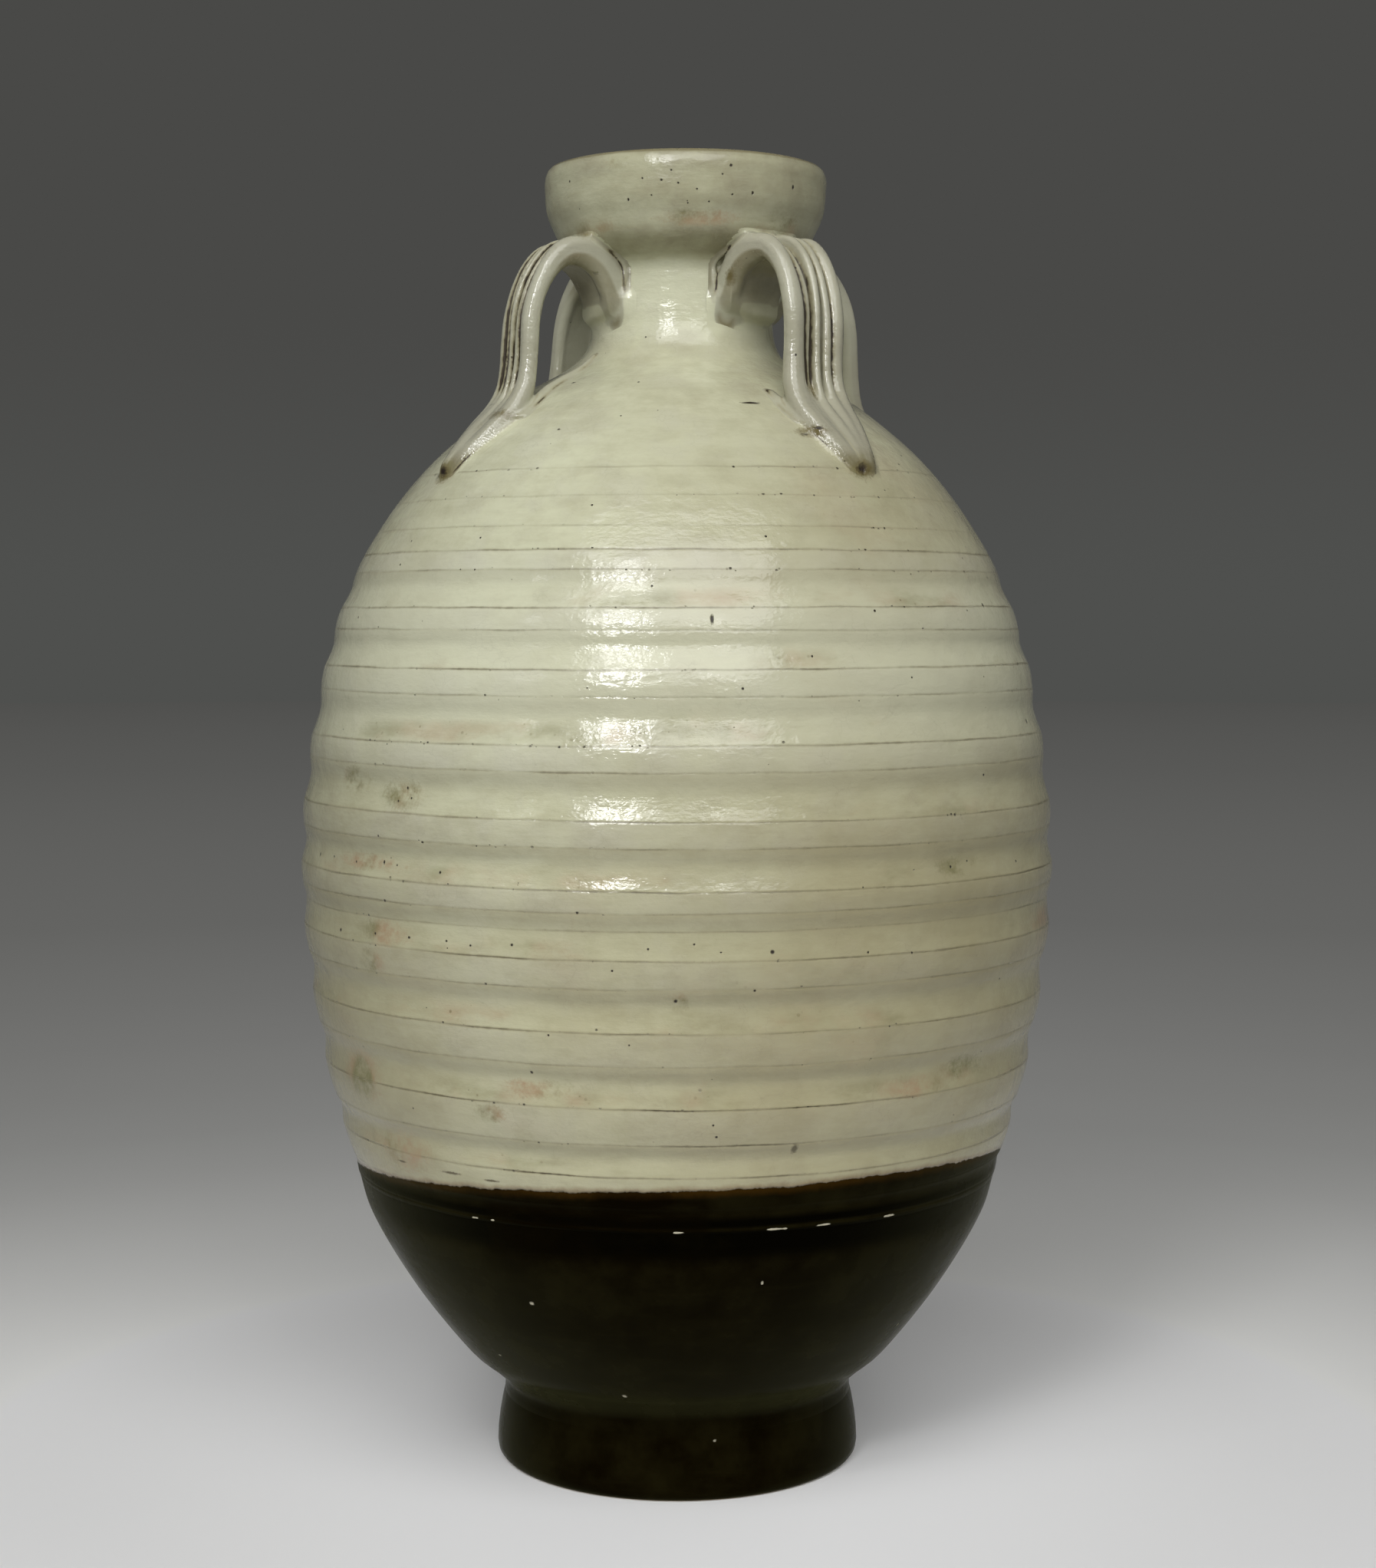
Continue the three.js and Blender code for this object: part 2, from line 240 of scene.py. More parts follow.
def leaned(points):
    share = smoothStep((points[..., 2] - shoulderJoint) / (wall["lipBase"] - shoulderJoint))
    turn = math.radians(wall["leanBearing"])
    moved = points.copy()
    moved[..., 0] += wall["lean"] * share * math.cos(turn)
    moved[..., 1] += wall["lean"] * share * math.sin(turn)
    return moved


# Lines left by the rib tool: both edges of each band, and the faint ones
toolLines = sorted(
    [(band[end], strength) for band in ribs["bands"] for end, strength in enumerate(ribs["edgeInk"])]
    + ribs["faintLines"]
)
lineLevels = np.array([level for level, strength in toolLines])
lineStrengths = np.array([strength for level, strength in toolLines])


def lineWaver(level, bearing):
    # how far the lines stray from their heights, as rows of levels by columns of bearings
    waves = np.stack([
        ribs["waver"] * wavering(bearing, n + 1) + ribs["wobble"] * wobbling(bearing, n + 1)
        for n in range(len(lineLevels))
    ])
    place = np.interp(level, lineLevels, np.arange(len(lineLevels)))
    low = np.minimum(place.astype(int), len(lineLevels) - 2)
    share = (place - low)[:, None]
    fade = smoothStep((level - 65) / 8) * smoothStep((265 - level) / 12)
    return (waves[low] * (1 - share) + waves[low + 1] * share) * fade[:, None]


def hollowPlace(level):
    # 0 under a band to 1 above the next one down, with the height of both bands, for each level
    bands = ribs["bands"]
    place = np.full(level.shape, -1.0)
    height = np.zeros(level.shape)
    for lower, upper in zip(bands, bands[1:]):
        inside = (level > lower[1]) & (level < upper[0])
        share = (upper[0] - level) / (upper[0] - lower[1])
        place = np.where(inside, share, place)
        height = np.where(inside, upper[2] + (lower[2] - upper[2]) * share, height)
    return place, height


def ribRise(level):
    # each band bulges and droops to its lower edge, then a hollow dips and climbs to the next band
    place, height = hollowPlace(level)
    ledge, dip = ribs["edgeShare"], ribs["troughPlace"]
    low = ledge - ribs["droop"]
    falling = low - (low + ribs["troughShare"]) * smoothStep(place / dip)
    climb = np.clip((place - dip) / (1 - dip), 0, 1) ** 1.6
    rising = -ribs["troughShare"] + (ledge + ribs["troughShare"]) * climb
    rise = np.where(place >= 0, height * np.where(place < dip, falling, rising), 0.0)
    for bottom, top, stand in ribs["bands"]:
        down = np.clip((top - level) / (top - bottom), 0, 1)
        bulge = ledge + ribs["bulgeShare"] * np.sin(math.pi * down) - ribs["droop"] * down**2
        rise = np.where((level >= bottom) & (level <= top), stand * bulge, rise)
    top, bottom = ribs["bands"][-1], ribs["bands"][0]
    over = smoothStep(1 - (level - top[1]) / ribs["fade"])
    rise = np.where(level > top[1], top[2] * ledge * over, rise)
    under = smoothStep(1 - (bottom[0] - level) / ribs["fade"])
    return np.where(level < bottom[0], bottom[2] * low * under, rise)


def roundAxis(radius, bearing, z):
    return leaned(np.stack([radius * np.cos(bearing), radius * np.sin(bearing), z], -1))


def lineNearness(level):
    return nearTo(level[:, None] - lineLevels[None, :], ribs["rowsBeside"][-1])


def wallPoints(level, bearing):
    # the wall's outside, rows of levels by columns of bearings (radians)
    z = level[:, None] + lineWaver(level, bearing)
    lively = 1 + 0.25 * wavering(bearing, 31)[None, :] * np.sin(level / 23)[:, None]
    groove = ribs["grooveDepth"] * ((lineNearness(level) * lineStrengths).max(1) ** 2)[:, None]
    radius = baseRadius(z, bearing[None, :]) + ribRise(level)[:, None] * lively - groove
    return roundAxis(radius, bearing, z)


def wallValues(level, bearing, points):
    # what the glaze shader reads on the wall: lines, bands, hollows (with painted shade under each
    # band), grime with painted shade under the cup, and the glazes' meeting
    near = lineNearness(level)
    ink = np.stack([0.62 + 0.38 * wobbling(bearing * 0.45 + n, n + 40) for n in range(len(lineLevels))])
    ink = ink * lineStrengths[:, None]
    for line, middle, halfLength, strength in ribs["stains"]:
        number = int(np.argmin(np.abs(lineLevels - line)))
        ink[number] += strength * smoothStep(1.5 - np.abs(turnFrom(bearing, middle)) / halfLength)
    place = hollowPlace(level)[0]
    crest = np.zeros(level.shape)
    for low, high, stand in ribs["bands"]:
        within = np.minimum(level - low, high - level)
        crest = np.maximum(crest, np.clip(within / 0.3 + 0.5, 0, 1))
    crest = np.where(level < 95, crest * 0.3, crest)
    # painted shade: the hollow value darkens the upper part of each hollow, just under a band
    hollow = np.where(place >= 0, smoothStep(1.15 - place / 0.5), 0.0)
    pocket = smoothStep((place - 0.45) / 0.25) * smoothStep((1.02 - place) / 0.12)
    # under the ridge in the dark glaze the same value marks where it pools black
    meeting = glazeMeeting
    ridge = meeting["ridge"]
    pool = smoothStep((level - ridge + 9) / 4) * smoothStep((ridge - level + 0.6) / 1.2)
    pocket = np.where(level < ridge, pool, pocket)
    z = points[..., 2]
    turn = bearing - math.radians(meeting["viewBearing"])
    border = meeting["mean"] + meeting["towards"] * np.cos(turn) + meeting["across"] * np.sin(turn)
    border = border + meeting["waver"] * wavering(bearing * 2, 9) + 0.15 * wobbling(bearing, 5)
    # painted shade under the cup, and on the cup itself dirt together with painted shade where it faces
    # down
    underCup = smoothStep((z - 304) / 5) * smoothStep((319 - z) / 6)
    chips = np.zeros(bearing.shape)
    for middle, halfLength in meeting["chips"]:
        chips = np.maximum(chips, smoothStep(1.4 - np.abs(turnFrom(bearing, middle)) / halfLength))
    onRidge = nearTo(level - ridge, 0.8)
    shape = z.shape
    return {
        "line": np.broadcast_to(near.max(1)[:, None], shape),
        "ink": ink[near.argmax(1)],
        "crest": np.broadcast_to(crest[:, None], shape),
        "hollow": np.broadcast_to(hollow[:, None], shape),
        "pocket": np.broadcast_to(pocket[:, None], shape),
        "grime": np.maximum(0.65 * underCup, 0.5 * smoothStep((z - 312) / 8)),
        "aboveMeeting": z - border[None, :],
        "chips": onRidge[:, None] * chips[None, :],
        "bare": np.zeros(shape),
    }


glazeValues = ["line", "ink", "crest", "hollow", "pocket", "grime"]
valueNames = [*glazeValues, "aboveMeeting", "chips", "bare"]


def thicknessAt(z):
    low, up, neck = wall["lowerThickness"], wall["upperThickness"], wall["neckThickness"]
    t = low + (up - low) * np.clip((z - 153) / (neckJoint - 153), 0, 1)
    return t + (neck - up) * smoothStep((z - neckJoint) / 12)


def innerRadius(z):
    slope = (smoothRadius(z + 1) - smoothRadius(z - 1)) / 2
    return smoothRadius(z) - thicknessAt(z) * np.hypot(1, slope)


def rows(low, high, step):
    return np.linspace(low, high, max(2, int(abs(high - low) / step) + 1))


def outsideLevels(low, high):
    # rows packed at the tool lines and even elsewhere, from one joint to the next
    beside = (lineLevels[:, None] + np.array(ribs["rowsBeside"])).ravel()
    even = rows(low, high, wall["rowStep"])
    clear = np.abs(even[:, None] - beside[None, :]).min(1) > 0.3
    levels = np.sort(np.concatenate([even[clear], beside]))
    levels = levels[(levels > low + 0.1) & (levels < high - 0.1)]
    levels = levels[np.concatenate([[True], np.diff(levels) > 0.05])]
    return np.concatenate([[low], levels, [high]])


bearingsRound = np.linspace(0, 2 * math.pi, wall["aroundSteps"], endpoint=False)


def outsideStrip(low, high):
    bearing = bearingsRound
    level = outsideLevels(low, high)
    points = wallPoints(level, bearing)
    climb = wallPoints(level + 0.12, bearing) - wallPoints(level - 0.12, bearing)
    return {"points": points, "climb": climb, "values": wallValues(level, bearing, points)}


def plainStrip(section, bare=0.0, aboveMeeting=50.0, grime=0.0):
    # rows of (radius, height) turned round the axis, such as the inside or the lip
    section = np.array(section, float)
    radius, height = section[:, :1], np.repeat(section[:, 1:], len(bearingsRound), 1)
    points = roundAxis(radius, bearingsRound, height)
    values = {name: np.zeros(height.shape) for name in valueNames}
    values["bare"] += bare
    values["aboveMeeting"] += aboveMeeting
    values["grime"] += grime
    return {"points": points, "climb": None, "values": values}


def meshPiece(name, points, faces, material, nodes, values, corners=None):
    mesh = bpy.data.meshes.new(name)
    mesh.from_pydata((points * mm).tolist(), [], faces)
    mesh.shade_smooth()
    if corners is not None:
        mesh.normals_split_custom_set(corners.tolist())
    for key, numbers in values.items():
        layer = mesh.attributes.new(key, "FLOAT", "POINT")
        layer.data.foreach_set("value", np.asarray(numbers, np.float32).ravel())
    mesh.materials.append(material)
    piece = bpy.data.objects.new(name, mesh)
    bpy.context.scene.collection.objects.link(piece)
    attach(piece, "root")
    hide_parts(*nodes)
    return piece


def turnedPiece(name, strips, sharp, material, nodes, looped=True):
    # strips join end to end; after each strip whose number is in sharp comes a flat joint face
    points = np.concatenate([strip["points"] for strip in strips])
    count, steps = points.shape[:2]
    ends = np.cumsum([len(strip["points"]) for strip in strips]) - 1
    flat = np.zeros(count, bool)
    flat[ends[list(sharp)]] = True
    rise = unit(np.roll(points, -1, 0) - points)
    smooth = rise * ~flat[:, None, None]
    if not looped:
        smooth[-1] = 0
    climb = smooth + np.roll(smooth, 1, 0)
    start = 0
    for strip in strips:
        stop = start + len(strip["points"])
        if strip["climb"] is not None:
            climb[start:stop] = strip["climb"]
        start = stop
    along = np.roll(points, -1, 1) - np.roll(points, 1, 1)
    normals = unit(np.cross(along, climb))
    flatNormals = unit(np.cross(along, rise))
    used = count if looped else count - 1
    a = np.arange(used)[:, None] * steps
    b = (a + steps) % (count * steps)
    i = np.arange(steps)[None, :]
    j = (i + 1) % steps
    faces = np.stack([a + i, a + j, b + j, b + i], -1).reshape(-1, 4)
    corners = normals.reshape(-1, 3)[faces]
    flatFaces = np.repeat(flat[:used], steps)
    corners[flatFaces] = flatNormals[:used].reshape(-1, 3)[flatFaces][:, None, :]
    values = {}
    for key in valueNames:
        values[key] = np.concatenate([strip["values"][key] for strip in strips]).ravel()
    faces, corners, points = faces.tolist(), corners.reshape(-1, 3), points.reshape(-1, 3)
    if not looped:
        # both ends close in a fan on the axis
        for row, down in ((0, True), (count - 1, False)):
            middle = len(points)
            ring = row * steps + np.arange(steps)
            following = np.roll(ring, -1)
            order = [following, ring] if down else [ring, following]
            fan = np.stack([np.full(steps, middle), *order], -1)
            faces += fan.tolist()
            way = [0.0, 0.0, -1.0 if down else 1.0]
            corners = np.concatenate([corners, np.tile(way, (steps * 3, 1))])
            points = np.concatenate([points, [[0.0, 0.0, points[ring[0], 2]]]])
            values = {key: np.append(numbers, numbers[ring[0]]) for key, numbers in values.items()}
    return meshPiece(name, points, faces, material, nodes, values, corners)


def inside(high, low, bare):
    return plainStrip([(float(innerRadius(z)), z) for z in rows(high, low, wall["insideStep"])], bare)


# Handles: one combed strap each, with its root, slip and tongue in one skin

strapLine = catmullRom(strap["centreLine"], 300)
strapStep = np.linalg.norm(np.diff(strapLine[:, :2], axis=0), axis=1)
strapAlong = np.concatenate([[0], np.cumsum(strapStep)]) / strapStep.sum()
strapWay = unit(np.gradient(strapLine[:, :2], axis=0))
wallHeights = np.linspace(240, 322, 400)
wallStep = np.hypot(np.diff(wallHeights), np.diff(smoothRadius(wallHeights)))
wallArc = np.concatenate([[0], np.cumsum(wallStep)])


def strapPlace(r, z):
    # along, over and past: share of the strap's length, height over its middle line (outside
    # positive) and distance beyond its ends, then half thickness and breadth there
    flatR, flatZ = r.ravel(), z.ravel()
    nearest = np.empty(len(flatR), int)
    batch = 20000
    for start in range(0, len(flatR), batch):
        some = slice(start, start + batch)
        gap = (flatR[some, None] - strapLine[:, 0]) ** 2 + (flatZ[some, None] - strapLine[:, 1]) ** 2
        nearest[some] = gap.argmin(1)
    way, middle = strapWay[nearest], strapLine[nearest]
    dr, dz = flatR - middle[:, 0], flatZ - middle[:, 1]
    past = dr * way[:, 0] + dz * way[:, 1]
    past = np.where((nearest == 0) | (nearest == len(strapLine) - 1), past, 0)
    over = dz * way[:, 0] - dr * way[:, 1]
    values = (strapAlong[nearest], over, past, middle[:, 2], middle[:, 3])
    return [part.reshape(r.shape) for part in values]


def segmentGap(points, a, b):
    # distance from points (tuple of arrays) to the segment a-b
    way = [q - p for p, q in zip(a, b)]
    length2 = sum(w * w for w in way)
    share = np.clip(sum((x - p) * w for x, p, w in zip(points, a, way)) / length2, 0, 1)
    return np.sqrt(sum((x - p - share * w) ** 2 for x, p, w in zip(points, a, way)))


def slipGap(t, z, toWall, line):
    # distance to a roll of slip that hugs the wall; its line gives across, height, lift and radius
    path = catmullRom(line, 14 * len(line))
    arc = np.interp(z, wallHeights, wallArc)
    pathArc = np.interp(path[:, 1], wallHeights, wallArc)
    flatT, flatArc = (part.ravel() for part in np.broadcast_arrays(t, arc))
    gap = (flatT[:, None] - path[:, 0]) ** 2 + (flatArc[:, None] - pathArc) ** 2
    nearest = gap.argmin(1)
    shape = np.broadcast_shapes(t.shape, z.shape)
    beside = np.sqrt(gap.min(1)).reshape(shape)
    lift, radius = path[nearest, 2].reshape(shape), path[nearest, 3].reshape(shape)
    return np.hypot(toWall - lift, beside) - radius


def halfBreadth(side):
    low = min(across - half for across, half, *rest in strap["strands"][side])
    high = max(across + half for across, half, *rest in strap["strands"][side])
    return (high - low) / 2


def ended(gap, past):
    # a gap beside the strap, rounded off beyond its ends
    return np.hypot(np.maximum(gap, 0), past) + np.minimum(gap, 0)


def strandGaps(t, place, side, seed):
    # signed distance to each comb ridge and to the web that joins them
    along, over, past, thick, breadth = place
    sway = 0.4 * np.sin(3.1 * along + seed) + 0.15 * np.sin(9 * along + 2 * seed)
    sway = sway + strap["footShift"][side] * np.sin(math.pi * np.clip(along * 2 - 1, 0, 1)) ** 2
    gaps = []
    for number, (across, halfWidth, thickShare, liftShare) in enumerate(strap["strands"][side]):
        drift = 0.14 * np.sin(8 * along + seed * 2.3 + number * 1.9)
        drift = drift + 0.06 * np.sin(23 * along + number * 2.7)
        full = 1 + 0.07 * np.sin(9 * along + number * 2.1 + seed)
        full = full + 0.04 * np.sin(27 * along + number + seed)
        width = halfWidth * full * breadth**0.7
        high = thick * thickShare * full
        beside = t - sway - (across + drift) * breadth
        above = np.maximum(np.abs(over - thick * liftShare) - np.maximum(high - width, 0), 0)
        gap = np.hypot(beside, above) - np.minimum(width, high)
        wide = np.maximum(np.abs(beside) - np.maximum(width - high, 0), 0)
        gap = np.where(width > high, np.hypot(wide, over - thick * liftShare) - high, gap)
        gaps.append(ended(gap, past))
    beside = np.abs(t - sway) - (halfBreadth(side) - 1.7) * breadth
    web = np.maximum(np.abs(over + 0.4 * thick) - 0.5 * thick, beside)
    gaps.append(ended(web, past))
    return gaps


def fillGap(r, t, z, side):
    # clay between the strap's upper face and the cup
    gap = segmentGap((r, z), strap["fill"][0], strap["fill"][1])
    for a, b in zip(strap["fill"][1:], strap["fill"][2:]):
        gap = np.minimum(gap, segmentGap((r, z), a, b))
    gap = gap - strap["fillRadius"]
    beside = np.abs(t) - (halfBreadth(side) - 0.9)
    return np.hypot(np.maximum(gap, 0), np.maximum(beside, 0)) + np.minimum(np.maximum(gap, beside), 0)


def wallGap(r, t, z, bearing):
    # signed distance to the wall's outside near a handle
    turn = math.radians(bearing) + np.arctan2(t, r)
    slope = smoothRadius(z + 0.5) - smoothRadius(z - 0.5)
    return (np.hypot(r, t) - baseRadius(z, turn)) / np.hypot(1, slope)


def slipLines(side):
    # the two beads beside the root, then the smear on the shoulder
    half = halfBreadth(side)
    beads = []
    for hand in (-half, half):
        beads.append([(share * hand, *others) for share, *others in strap["bead"]])
    return [*beads, strap["smears"][side]]


def handleSkin(r, t, z, place, side, seed, bearing):
    *strands, web = strandGaps(t, place, side, seed)
    tongue = smoothStep((place[0] - strap["tongueStart"]) / 0.14)
    blend = strap["strandBlend"] + (strap["tongueBlend"] - strap["strandBlend"]) * tongue
    body = web
    for strand in strands:
        body = smoothMin(body, strand, blend)
    body = smoothMin(body, fillGap(r, t, z, side), strap["slipBlend"])
    # the root ends at a slant above the neck's waist, higher on its nearer side
    height, slant, rounding = strap["rootEnd"]
    below = height + slant * t * math.copysign(1, strap["footShift"][side]) - z
    below = below + 40 * smoothStep((36 - r) / 4) - 40
    body = -smoothMin(-body, -below, rounding)
    toWall = wallGap(r, t, z, bearing)
    outside = toWall + strap["sunk"]
    # the root and the foot are smoothed onto the wall more broadly than the sides
    root = smoothStep((302 - z) / 5) * smoothStep((34 - r) / 5)
    foot = smoothStep((277 - z) / 8)
    blend = strap["wallBlend"] + strap["footBlend"] * foot + strap["rootBlend"] * root
    skin = smoothMin(body, outside, blend)
    for line in slipLines(side):
        slip = slipGap(t, z, toWall, line)
        skin = smoothMin(skin, slip, strap["slipBlend"])
        body = np.minimum(body, slip)
    return np.maximum(skin, np.maximum(body - blend - 0.3, -outside - strap["skirt"]))


def handleValues(r, t, z, place, side, seed, bearing):
    *strands, web = strandGaps(t, place, side, seed)
    along, height = place[0], place[1] / place[3]
    toWall = wallGap(r, t, z, bearing)
    *beads, wipe = slipLines(side)
    slip = np.min([slipGap(t, z, toWall, line) for line in beads], 0)
    nearest = np.sort(np.stack(strands), 0)
    between = nearTo(nearest[1] - nearest[0], 1.4, 1.25)
    grooved = 1 - smoothStep((along - strap["tongueStart"] - 0.02) / 0.1)
    line = between * smoothStep(1.2 - nearest[0] / 0.8) * smoothStep(height * 3 + 1.2) * grooved
    seam = nearTo(slip - np.minimum(nearest[0], fillGap(r, t, z, side)), 0.95)
    seam = seam * smoothStep(1.5 - slip / 0.8)
    body = np.minimum(np.minimum(nearest[0], web), slip)
    smear = slipGap(t, z, toWall, wipe)
    wiped = nearTo(toWall - smear, 0.7, 1.1) * smoothStep(1.6 - smear / 0.9)
    wiped = wiped * (0.55 + 0.45 * np.sin(0.9 * z + seed) * np.sin(0.37 * z + 2 * seed))
    # painted shade where the strap meets the wall and under the arch; the tongue's tip gets dirt
    touching = nearTo(toWall, 1.6) * nearTo(body, 1.6)
    crease = nearTo(toWall - body, 0.8, 1.1) * smoothStep((along - 0.5) / 0.1)
    crease = crease * (0.5 + 0.5 * np.sin(31 * along + 2 * seed) * np.sin(12 * along + seed))
    under = smoothStep(-height * 2.5) * smoothStep((0.5 - along) / 0.2)
    under = under * smoothStep((toWall - 0.3) / 2) * smoothStep((z - 284) / 18)
    values = {name: np.zeros(len(r)) for name in valueNames}
    values["line"] = np.max([line, seam, wiped, crease * smoothStep(2 - body)], 0)
    values["ink"] += 1.0 + 1.2 * smoothStep(1.6 - np.minimum(body, smear))
    tip = smoothStep((along - 0.9) / 0.1) * smoothStep(1.5 - body)
    values["grime"] = np.clip(np.max([touching * 0.95, 0.75 * under, 0.95 * tip], 0), 0, 1)
    outer = smoothStep(height * 1.2 + 1.1)
    values["crest"] = 1.25 * outer * (1 - line) * smoothStep((toWall - 0.3) / 1.5)
    # painted shade in the grooves between the strands
    values["hollow"] = between * grooved * smoothStep(height * 3 + 1)
    values["aboveMeeting"] += 50.0
    return values


def makeHandle(side, bearing, seed, material):
    (r0, r1), (t0, t1), (z0, z1) = strap["reach"]
    voxel = strap["voxel"]
    r = np.arange(r0, r1, voxel)[:, None, None]
    t = np.arange(t0, t1, voxel)[None, :, None]
    z = np.arange(z0, z1, voxel)[None, None, :]
    flatR, flatZ = np.broadcast_arrays(r, z)
    place = [part[:, None, :] for part in strapPlace(flatR[:, 0, :], flatZ[:, 0, :])]
    skin = handleSkin(r, t, z, place, side, seed, bearing)
    grid = openvdb.FloatGrid(1.0)
    grid.copyFromArray(np.ascontiguousarray(np.clip(skin, -1, 1), np.float32))
    spots, faces = grid.convertToQuads(0.0)
    spots = np.array(spots, float) * voxel + (r0, t0, z0)

    def skinAt(spots):
        r, t, z = spots.T
        return handleSkin(r, t, z, strapPlace(r, z), side, seed, bearing)

    # the corners of a small tetrahedron round each point give the way out of the clay
    ways = np.array([(1, 1, 1), (1, -1, -1), (-1, 1, -1), (-1, -1, 1)], float)
    slope = sum(skinAt(spots + way * 0.12)[:, None] * way for way in ways)
    outward = unit(slope)
    spots = spots - outward * np.clip(skinAt(spots), -0.15, 0.15)[:, None]
    r, t, z = spots.T
    values = handleValues(r, t, z, strapPlace(r, z), side, seed, bearing)
    cos, sin = math.cos(math.radians(bearing)), math.sin(math.radians(bearing))
    turned = np.array([(cos, sin, 0), (-sin, cos, 0), (0, 0, 1)])
    points, outward = leaned(spots @ turned), outward @ turned
    quads = points[faces]
    across = np.cross(quads[:, 2] - quads[:, 0], quads[:, 3] - quads[:, 1])
    if (across * outward[faces[:, 0]]).sum() < 0:
        faces = faces[:, ::-1]
    corners = outward[faces].reshape(-1, 3)
    nodes = [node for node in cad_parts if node.startswith(f"handle_{side.lower()}")]
    name = f"handle{side}"
    print(name, len(faces), "faces")
    return meshPiece(name, points, faces.tolist(), material, nodes, values, corners)


# Shader helpers


def linear(red, green, blue):
    # a colour as seen on a screen, 0 to 255, to the shader's own scale
    share = [c / 255 for c in (red, green, blue)]
    return [c / 12.92 if c <= 0.04045 else ((c + 0.055) / 1.055) ** 2.4 for c in share] + [1.0]


class Recipe:
    # a node tree, with a short word for each thing that a glaze needs

    def __init__(self, tree):
        self.tree = tree

    def feed(self, socket, value):
        if isinstance(value, bpy.types.NodeSocket):
            self.tree.links.new(value, socket)
        else:
            socket.default_value = value

    def feedAll(self, sockets, values):
        for key, value in values.items():
            self.feed(sockets[key], value)

    def add(self, kind, inputs=None, **settings):
        made = self.tree.nodes.new("ShaderNode" + kind)
        for key, value in settings.items():
            setattr(made, key, value)
        self.feedAll(made.inputs, inputs or {})
        return made.outputs

    def use(self, group, **inputs):
        return self.add("Group", inputs, node_tree=group)

    def math(self, operation, *parts):
        # one operation carried through all the parts
        total = parts[0]
        for part in parts[1:]:
            total = self.add("Math", {0: total, 1: part}, operation=operation)[0]
        return total

    def plus(self, *parts):
        return self.math("ADD", *parts)

    def times(self, *parts):
        return self.math("MULTIPLY", *parts)

    def most(self, *parts):
        return self.math("MAXIMUM", *parts)

    def weighted(self, *pairs):
        # the sum of some values, each times its weight
        return self.plus(*[self.times(value, weight) for value, weight in pairs])

    def vector(self, operation, a, b):
        return self.add("VectorMath", {0: a, 1: b}, operation=operation)

    def length(self, vector):
        return self.add("VectorMath", {0: vector}, operation="LENGTH")["Value"]

    def stretched(self, place, factors):
        return self.vector("MULTIPLY", place, factors)[0]

    def towards(self, place, way):
        return self.vector("DOT_PRODUCT", place, way)["Value"]

    def mix(self, share, a, b):
        return self.add("Mix", {0: share, 6: a, 7: b}, data_type="RGBA")[2]

    def layered(self, color, layers, look):
        # named colours laid one over another, each with its own share
        for share, name in layers:
            color = self.mix(share, color, look[name])
        return color

    def ramp(self, value, low, high, start=0.0, end=1.0):
        inputs = {0: value, 1: low, 2: high, 3: start, 4: end}
        return self.add("MapRange", inputs, interpolation_type="SMOOTHSTEP")[0]

    def fade(self, value, full, none):
        return self.add("MapRange", {0: value, 1: full, 2: none, 3: 1.0, 4: 0.0})[0]

    def window(self, value, rise, fall):
        return self.times(self.ramp(value, *rise), self.ramp(value, *fall))

    def noise(self, place, scale, detail=3.0, roughness=0.5):
        values = {"Vector": place, "Scale": scale, "Detail": detail, "Roughness": roughness}
        return self.add("TexNoise", values)["Fac"]


socketKinds = {"Place": "Vector", "Middle": "Vector", "Stretch": "Vector", "Color": "Color"}
glazeOutputs = ["Color", "Roughness", "Height"]


def startGroup(name, inputs, outputs):
    # a socket is a number unless socketKinds says otherwise
    tree = bpy.data.node_groups.new(name, "ShaderNodeTree")
    for keys, way in ((inputs, "INPUT"), (outputs, "OUTPUT")):
        for key in keys:
            kind = socketKinds.get(key, "Float")
            tree.interface.new_socket(key, in_out=way, socket_type="NodeSocket" + kind)
    given = tree.nodes.new("NodeGroupInput").outputs
    out = tree.nodes.new("NodeGroupOutput").inputs
    return Recipe(tree), given, out


def pitsGroup():
    # small round marks scattered in the glaze: a share of the cells hold one each
    g, given, out = startGroup("glazePits", ["Place", "Scale", "Share", "Size"], ["Mask"])
    cells = g.add("TexVoronoi", {"Vector": given["Place"], "Scale": given["Scale"]})
    pick = g.add("SeparateColor", {0: cells["Color"]})
    size = g.times(given["Size"], g.plus(g.times(pick[1], 0.7), 0.3))
    chosen = g.math("LESS_THAN", pick[0], given["Share"])
    g.feed(out["Mask"], g.times(g.fade(cells["Distance"], g.times(size, 0.6), size), chosen))
    return g.tree


def spotGroup():
    # one mark at a place, drawn out by Stretch and ragged at its edge
    g, given, out = startGroup("spot", ["Place", "Middle", "Stretch", "Radius"], ["Mask"])
    away = g.vector("SUBTRACT", given["Place"], given["Middle"])[0]
    gap = g.length(g.stretched(away, given["Stretch"]))
    ragged = g.plus(g.times(g.noise(given["Place"], 1500, 2), 0.9), 0.55)
    inner = g.times(given["Radius"], 0.45)
    g.feed(out["Mask"], g.fade(g.times(gap, ragged), inner, given["Radius"]))
    return g.tree


pits = pitsGroup()
spot = spotGroup()

